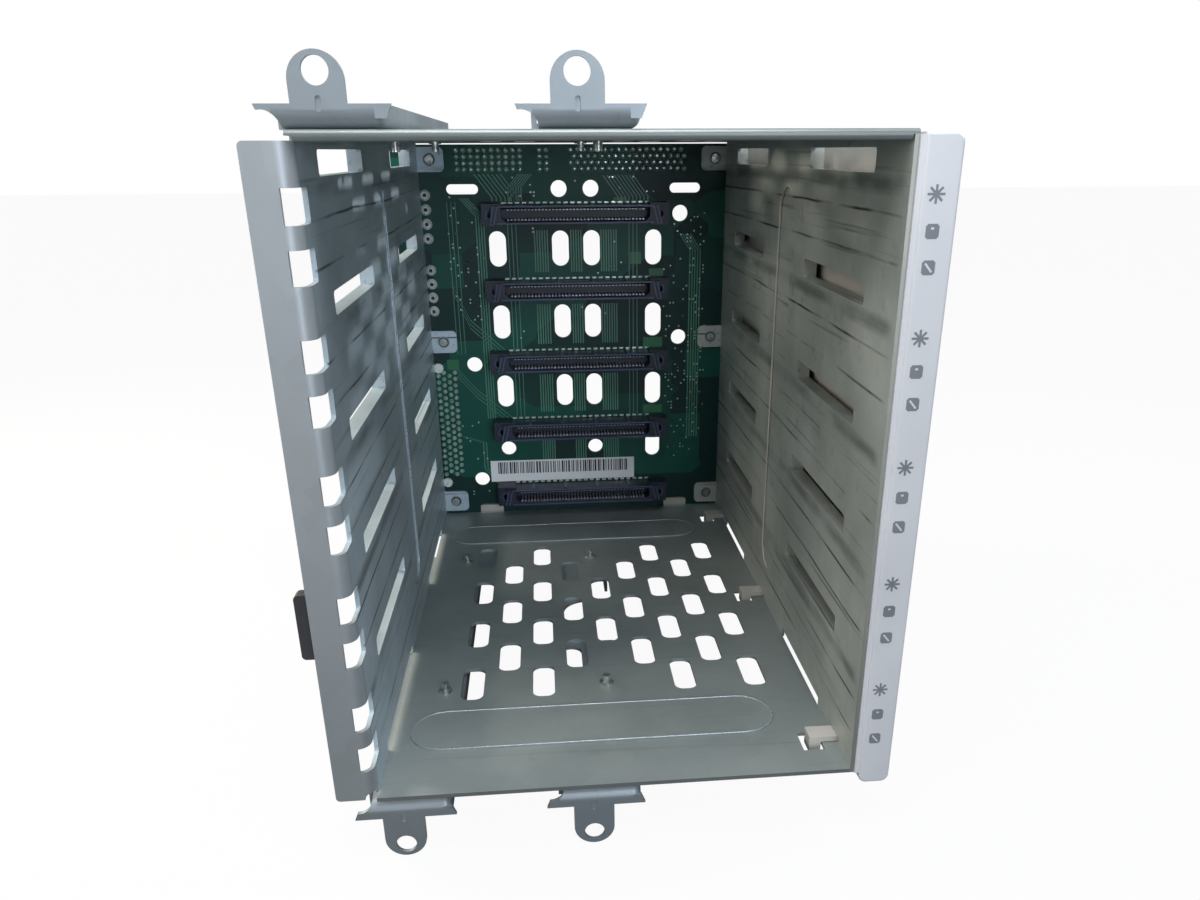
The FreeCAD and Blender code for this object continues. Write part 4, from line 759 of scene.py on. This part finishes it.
OPENINGS = [(x, z, 3.2, 6.5) for x in (27.1, 50.6, 62.4, 85.9) for z in (50.8, 78.0, 105.2)]
OPENINGS += [(x, z, 3.0, 3.0) for x, z in (
    (15.6, 14.4), (15.6, 61.8), (27.1, 27.2), (62.4, 27.2), (50.6, 126.4), (62.4, 126.4),
    (95.9, 117.4), (95.9, 71.0))]
OPENINGS += [(85.9, 27.2, 3.0, 4.9), (15.3, 126.4, 5.8, 1.8), (97.7, 126.4, 5.8, 1.8)]
VIA_GRID = 1.27
VIA_ROOM = 0.6
SOCKET_SPAN = (20.0, 93.0)
SOCKET_CLEAR = 5.2
VIA_FIELDS = (
    (91.0, 22.0, 106.0, 76.0, 110), (90.0, 78.0, 106.0, 118.0, 56),
    (8.0, 78.0, 22.0, 124.0, 46), (30.0, 124.0, 88.0, 131.0, 22),
    (24.0, 30.0, 90.0, 120.0, 40), (8.0, 8.0, 22.0, 40.0, 14))


def in_opening(x, z):
    """Whether a via there would cut an opening, given by its middle and half sizes."""
    return any(abs(x - u) < wide + VIA_ROOM and abs(z - v) < tall + VIA_ROOM
               for u, v, wide, tall in OPENINGS)


def under_socket(x, z):
    above = (z - SOCKET_LOW) % BAY_PITCH
    return (min(above, BAY_PITCH - above) <= SOCKET_CLEAR
            and SOCKET_SPAN[0] < x < SOCKET_SPAN[1])


dice = random.Random(11)
vias = []
for left, foot, right, top, count in VIA_FIELDS:
    for _ in range(count):
        x = left + round(dice.random() * (right - left) / VIA_GRID) * VIA_GRID
        z = foot + round(dice.random() * (top - foot) / VIA_GRID) * VIA_GRID
        if not in_opening(x, z) and not under_socket(x, z):
            vias.append(stud((x, BOARD_FACE, z), radius=0.34, tip_radius=0.28, height=0.05,
                             sides=7))
keep(join(vias), "vias", SOLDER)


# The label on the board, with plain bars and no words.

LABEL_LEFT = 19.3
LABEL_RIGHT = 78.2
LABEL_FOOT = 13.2
LABEL_TOP = 22.1
LABEL_LIFTS = (0.12, 0.01)
BAR_LIFTS = (0.16, 0.1)
BAR_MARGINS = (3.0, 3.5)
BAR_FOOT = 16.5
BAR_TOP = 21.4
BAR_WIDTHS = (0.3, 0.3, 0.45, 0.7)

label = block((LABEL_LEFT, BOARD_FACE - LABEL_LIFTS[0], LABEL_FOOT),
              (LABEL_RIGHT, BOARD_FACE - LABEL_LIFTS[1], LABEL_TOP))
keep(label, "board_label", PAPER)
dice = random.Random(7)
bars = []
x = LABEL_LEFT + BAR_MARGINS[0]
while x < LABEL_RIGHT - BAR_MARGINS[1]:
    width = dice.choice(BAR_WIDTHS)
    bars.append(block((x, BOARD_FACE - BAR_LIFTS[0], BAR_FOOT),
                      (x + width, BOARD_FACE - BAR_LIFTS[1], BAR_TOP)))
    x += width + dice.choice(BAR_WIDTHS)
keep(join(bars), "board_label_bars", INK_AND_BORE_SHADE)


# Three plain signs for each drive on the front strip: a star, under it a notched
# block, and a slashed block at the foot. Each stands a hair proud of the strip.

STRIP_FACE = -1.0
SIGN_X = 117.9
SIGN_LOW = 9.2
SIGN_STEP = 6.75
SUNK = 0.02
PRINT = 0.03
PRINT_STEP = 0.002
OVERPRINT = 0.05
SPOKES = 4
SPOKE = (0.24, 1.75)
WIDE_BLOCK = (1.35, 1.1)
TALL_BLOCK = (1.05, 1.4)
SLASH = (0.2, 1.1)
SLASH_TURN = 40
NOTCH = (0.3, 0.2)
NOTCH_UP = 0.55


def printed(z, halves, height):
    """A flat mark on the strip at a height z, by its half sizes along X and Z."""
    return block((SIGN_X - halves[0], STRIP_FACE - height, z - halves[1]),
                 (SIGN_X + halves[0], STRIP_FACE + SUNK, z + halves[1]))


signs = []
cutouts = []
for bay in range(BAYS):
    slashed = SIGN_LOW + BAY_PITCH * bay
    notched = slashed + SIGN_STEP
    star = slashed + 2 * SIGN_STEP
    for turn in range(SPOKES):
        spoke = printed(star, SPOKE, PRINT + PRINT_STEP * turn)
        signs.append(turned(spoke, 180 / SPOKES * turn, (SIGN_X, STRIP_FACE, star)))
    for z in (slashed, notched):
        signs.append(printed(z, WIDE_BLOCK, PRINT))
        signs.append(printed(z, TALL_BLOCK, PRINT + PRINT_STEP / 2))
    slash = printed(slashed, SLASH, OVERPRINT)
    cutouts.append(turned(slash, SLASH_TURN, (SIGN_X, STRIP_FACE, slashed)))
    cutouts.append(printed(notched + NOTCH_UP, NOTCH, OVERPRINT))
keep(join(signs), "strip_signs", MARK)


# A thin lip of the strip, which closes the gap beside the right wall.

LIP_LOW = (113.95, -0.55, -0.9)
LIP_HIGH = (115.1, 2.8, 141.9)

keep(block(LIP_LOW, LIP_HIGH), "strip_lip", STRIP)
keep(join(cutouts), "strip_sign_cutouts", STRIP)


# Rounded edges of the pressed beads, which catch the light. On the walls the front
# half of each sinks into the sheet, so that it fades out.

WALL_BEAD_Y = 91.5
WALL_BEAD_ENDS = (19.9, 122.5)
WALL_BEAD_RADIUS = 7.5
WALL_BEAD_SINK = 0.06
WALL_EDGE_RADIUS = 0.3
FLOOR_BEADS = (("front", 25.9), ("rear", 158.7))
FLOOR_BEAD_ENDS = (13.3, 91.1)
FLOOR_BEAD_RADIUS = 8.5
FLOOR_EDGE_RADIUS = 0.2
FLOOR_EDGE_HEIGHT = 0.4
ROUND_STEPS = 10


def long_ring(first, second, radius):
    """Places round an obround whose round ends have the two given middles."""
    (u0, v0), (u1, v1) = first, second
    start = math.atan2(v1 - v0, u1 - u0)
    places = []
    for (u, v), begin in (((u1, v1), start - math.pi / 2), ((u0, v0), start + math.pi / 2)):
        for step in range(ROUND_STEPS + 1):
            angle = begin + math.pi * step / ROUND_STEPS
            places.append((u + radius * math.cos(angle), v + radius * math.sin(angle)))
    return places


# The right wall's bead edge takes a warm painted glint.
for side, x, out, finish in (("left", 0.0, -1, DRAWN), ("right", CAGE_WIDTH, 1, PAINTED_GLINT)):
    line = long_ring(*[(WALL_BEAD_Y, end) for end in WALL_BEAD_ENDS], WALL_BEAD_RADIUS)
    line = [(x + out * WALL_BEAD_SINK * max(WALL_BEAD_Y - y, 0.0), y, z) for y, z in line]
    keep(wire(line, WALL_EDGE_RADIUS), "bead_edge_" + side, finish)
for side, y in FLOOR_BEADS:
    line = long_ring(*[(end, y) for end in FLOOR_BEAD_ENDS], FLOOR_BEAD_RADIUS)
    line = [(x, v, FLOOR_EDGE_HEIGHT) for x, v in line]
    keep(wire(line, FLOOR_EDGE_RADIUS), "bead_edge_" + side, DRAWN)


# Painted glints on the front and top faces of the two stops that hold the board's foot.

STOPS = (14.2, 90.6)
STOP_FRONT = 184.0
STOP_TOP = 3.5

faces = []
for x in STOPS:
    faces.append(block((x + 0.1, STOP_FRONT - 0.06, 0.9),
                       (x + 9.3, STOP_FRONT + 0.01, STOP_TOP - 0.1)))
    faces.append(block((x + 1.0, STOP_FRONT, STOP_TOP - 0.04),
                       (x + 8.4, STOP_FRONT + 0.98, STOP_TOP + 0.04)))
keep(join(faces), "stop_face_glints", PAINTED_GLINT)


# Rolled collars round the screw holes in the board tabs.

TAB_HOLES_X = (4.4, 108.6)
TAB_HOLES_Z = [5.6 + 65.5 * level for level in range(3)]
TAB_FRONT = 183.95

collars = [ring((x, TAB_FRONT, z), radius=2.0, tube_radius=0.22, sides=24, tube_sides=8)
           for x in TAB_HOLES_X for z in TAB_HOLES_Z]
keep(join(collars), "tab_collars", RAIL)
bpy.ops.object.shade_smooth()


# The floor: pale paper, mostly lit from itself, so that it stays white and keeps a
# soft shadow. That light is for the camera only and doesn't reach the object.

GROUND_SIZE = 8.0
GROUND_DROP = 0.2
GROUND_GLOW = 1.22
GLOW_SHARE = 0.78

deselect()
bpy.ops.mesh.primitive_plane_add(size=GROUND_SIZE, location=(0, 0, cad_low.z - GROUND_DROP * MM))
ground = bpy.context.object
ground.name = "ground"
paper, tree = material("pale_paper_ground")
plain = node(tree, "BsdfDiffuse", {"Color": paint("5F6162")})
glow = node(tree, "Emission", {"Color": paint("FFFFFF"), "Strength": GROUND_GLOW})
path = node(tree, "LightPath")
seen = node(tree, "Math", {0: path.outputs["Is Camera Ray"], 1: GLOW_SHARE},
            operation="MULTIPLY")
both = node(tree, "MixShader", {0: seen, 1: plain, 2: glow})
node(tree, "OutputMaterial", {"Surface": both})
ground.data.materials.append(paper)


# The world: white where the camera sees it, also through clear plastic, and only a
# weak soft light for the object.

WORLD_LIGHT = 0.15

world = bpy.data.worlds.new("studio")
bpy.context.scene.world = world
world.use_nodes = True
tree = world.node_tree
tree.nodes.clear()
soft = node(tree, "Background", {"Color": paint("F4F6F8"), "Strength": WORLD_LIGHT})
white = node(tree, "Background", {"Color": paint("FFFFFF"), "Strength": 1.0})
path = node(tree, "LightPath")
seen = node(tree, "Math", {0: path.outputs["Is Camera Ray"],
                           1: path.outputs["Is Transmission Ray"]}, operation="MAXIMUM")
both = node(tree, "MixShader", {0: seen, 1: soft, 2: white})
node(tree, "OutputWorld", {"Surface": both})


# Soft lamps, in metres of the frame and watts: above the front, far ahead, ahead on
# the left, outside the left wall, and high on the right, where the last one shines
# through the top's vents onto the left wall.

def lamp(name, place, target, size, power, colour):
    """A square lamp at a place, aimed at a target."""
    data = bpy.data.lights.new(name, "AREA")
    data.shape = "SQUARE"
    data.size = size
    data.energy = power
    data.color = paint(colour)[:3]
    item = bpy.data.objects.new(name, data)
    bpy.context.scene.collection.objects.link(item)
    item.location = Vector(place)
    aim = Vector(target) - item.location
    item.rotation_euler = aim.to_track_quat("-Z", "Y").to_euler()


lamp("sky", (0.02, -0.08, 0.26), (0.03, 0.0, 0.0), 0.16, 0.78, "F8FAFF")
lamp("window", (0.26, -0.75, 0.14), (0.0, 0.12, 0.0), 0.4, 3.0, "E6F0FF")
lamp("room", (-0.50, -0.38, 0.20), (0.09, 0.05, 0.0), 0.3, 1.45, "FFF9F0")
lamp("outside", (-0.42, 0.24, 0.26), (-0.03, 0.10, -0.02), 0.2, 4.0, "FFF6E6")
lamp("vents", (0.53, 0.12, 0.34), (-0.03, 0.12, 0.04), 0.03, 2.2, "F4F8FF")
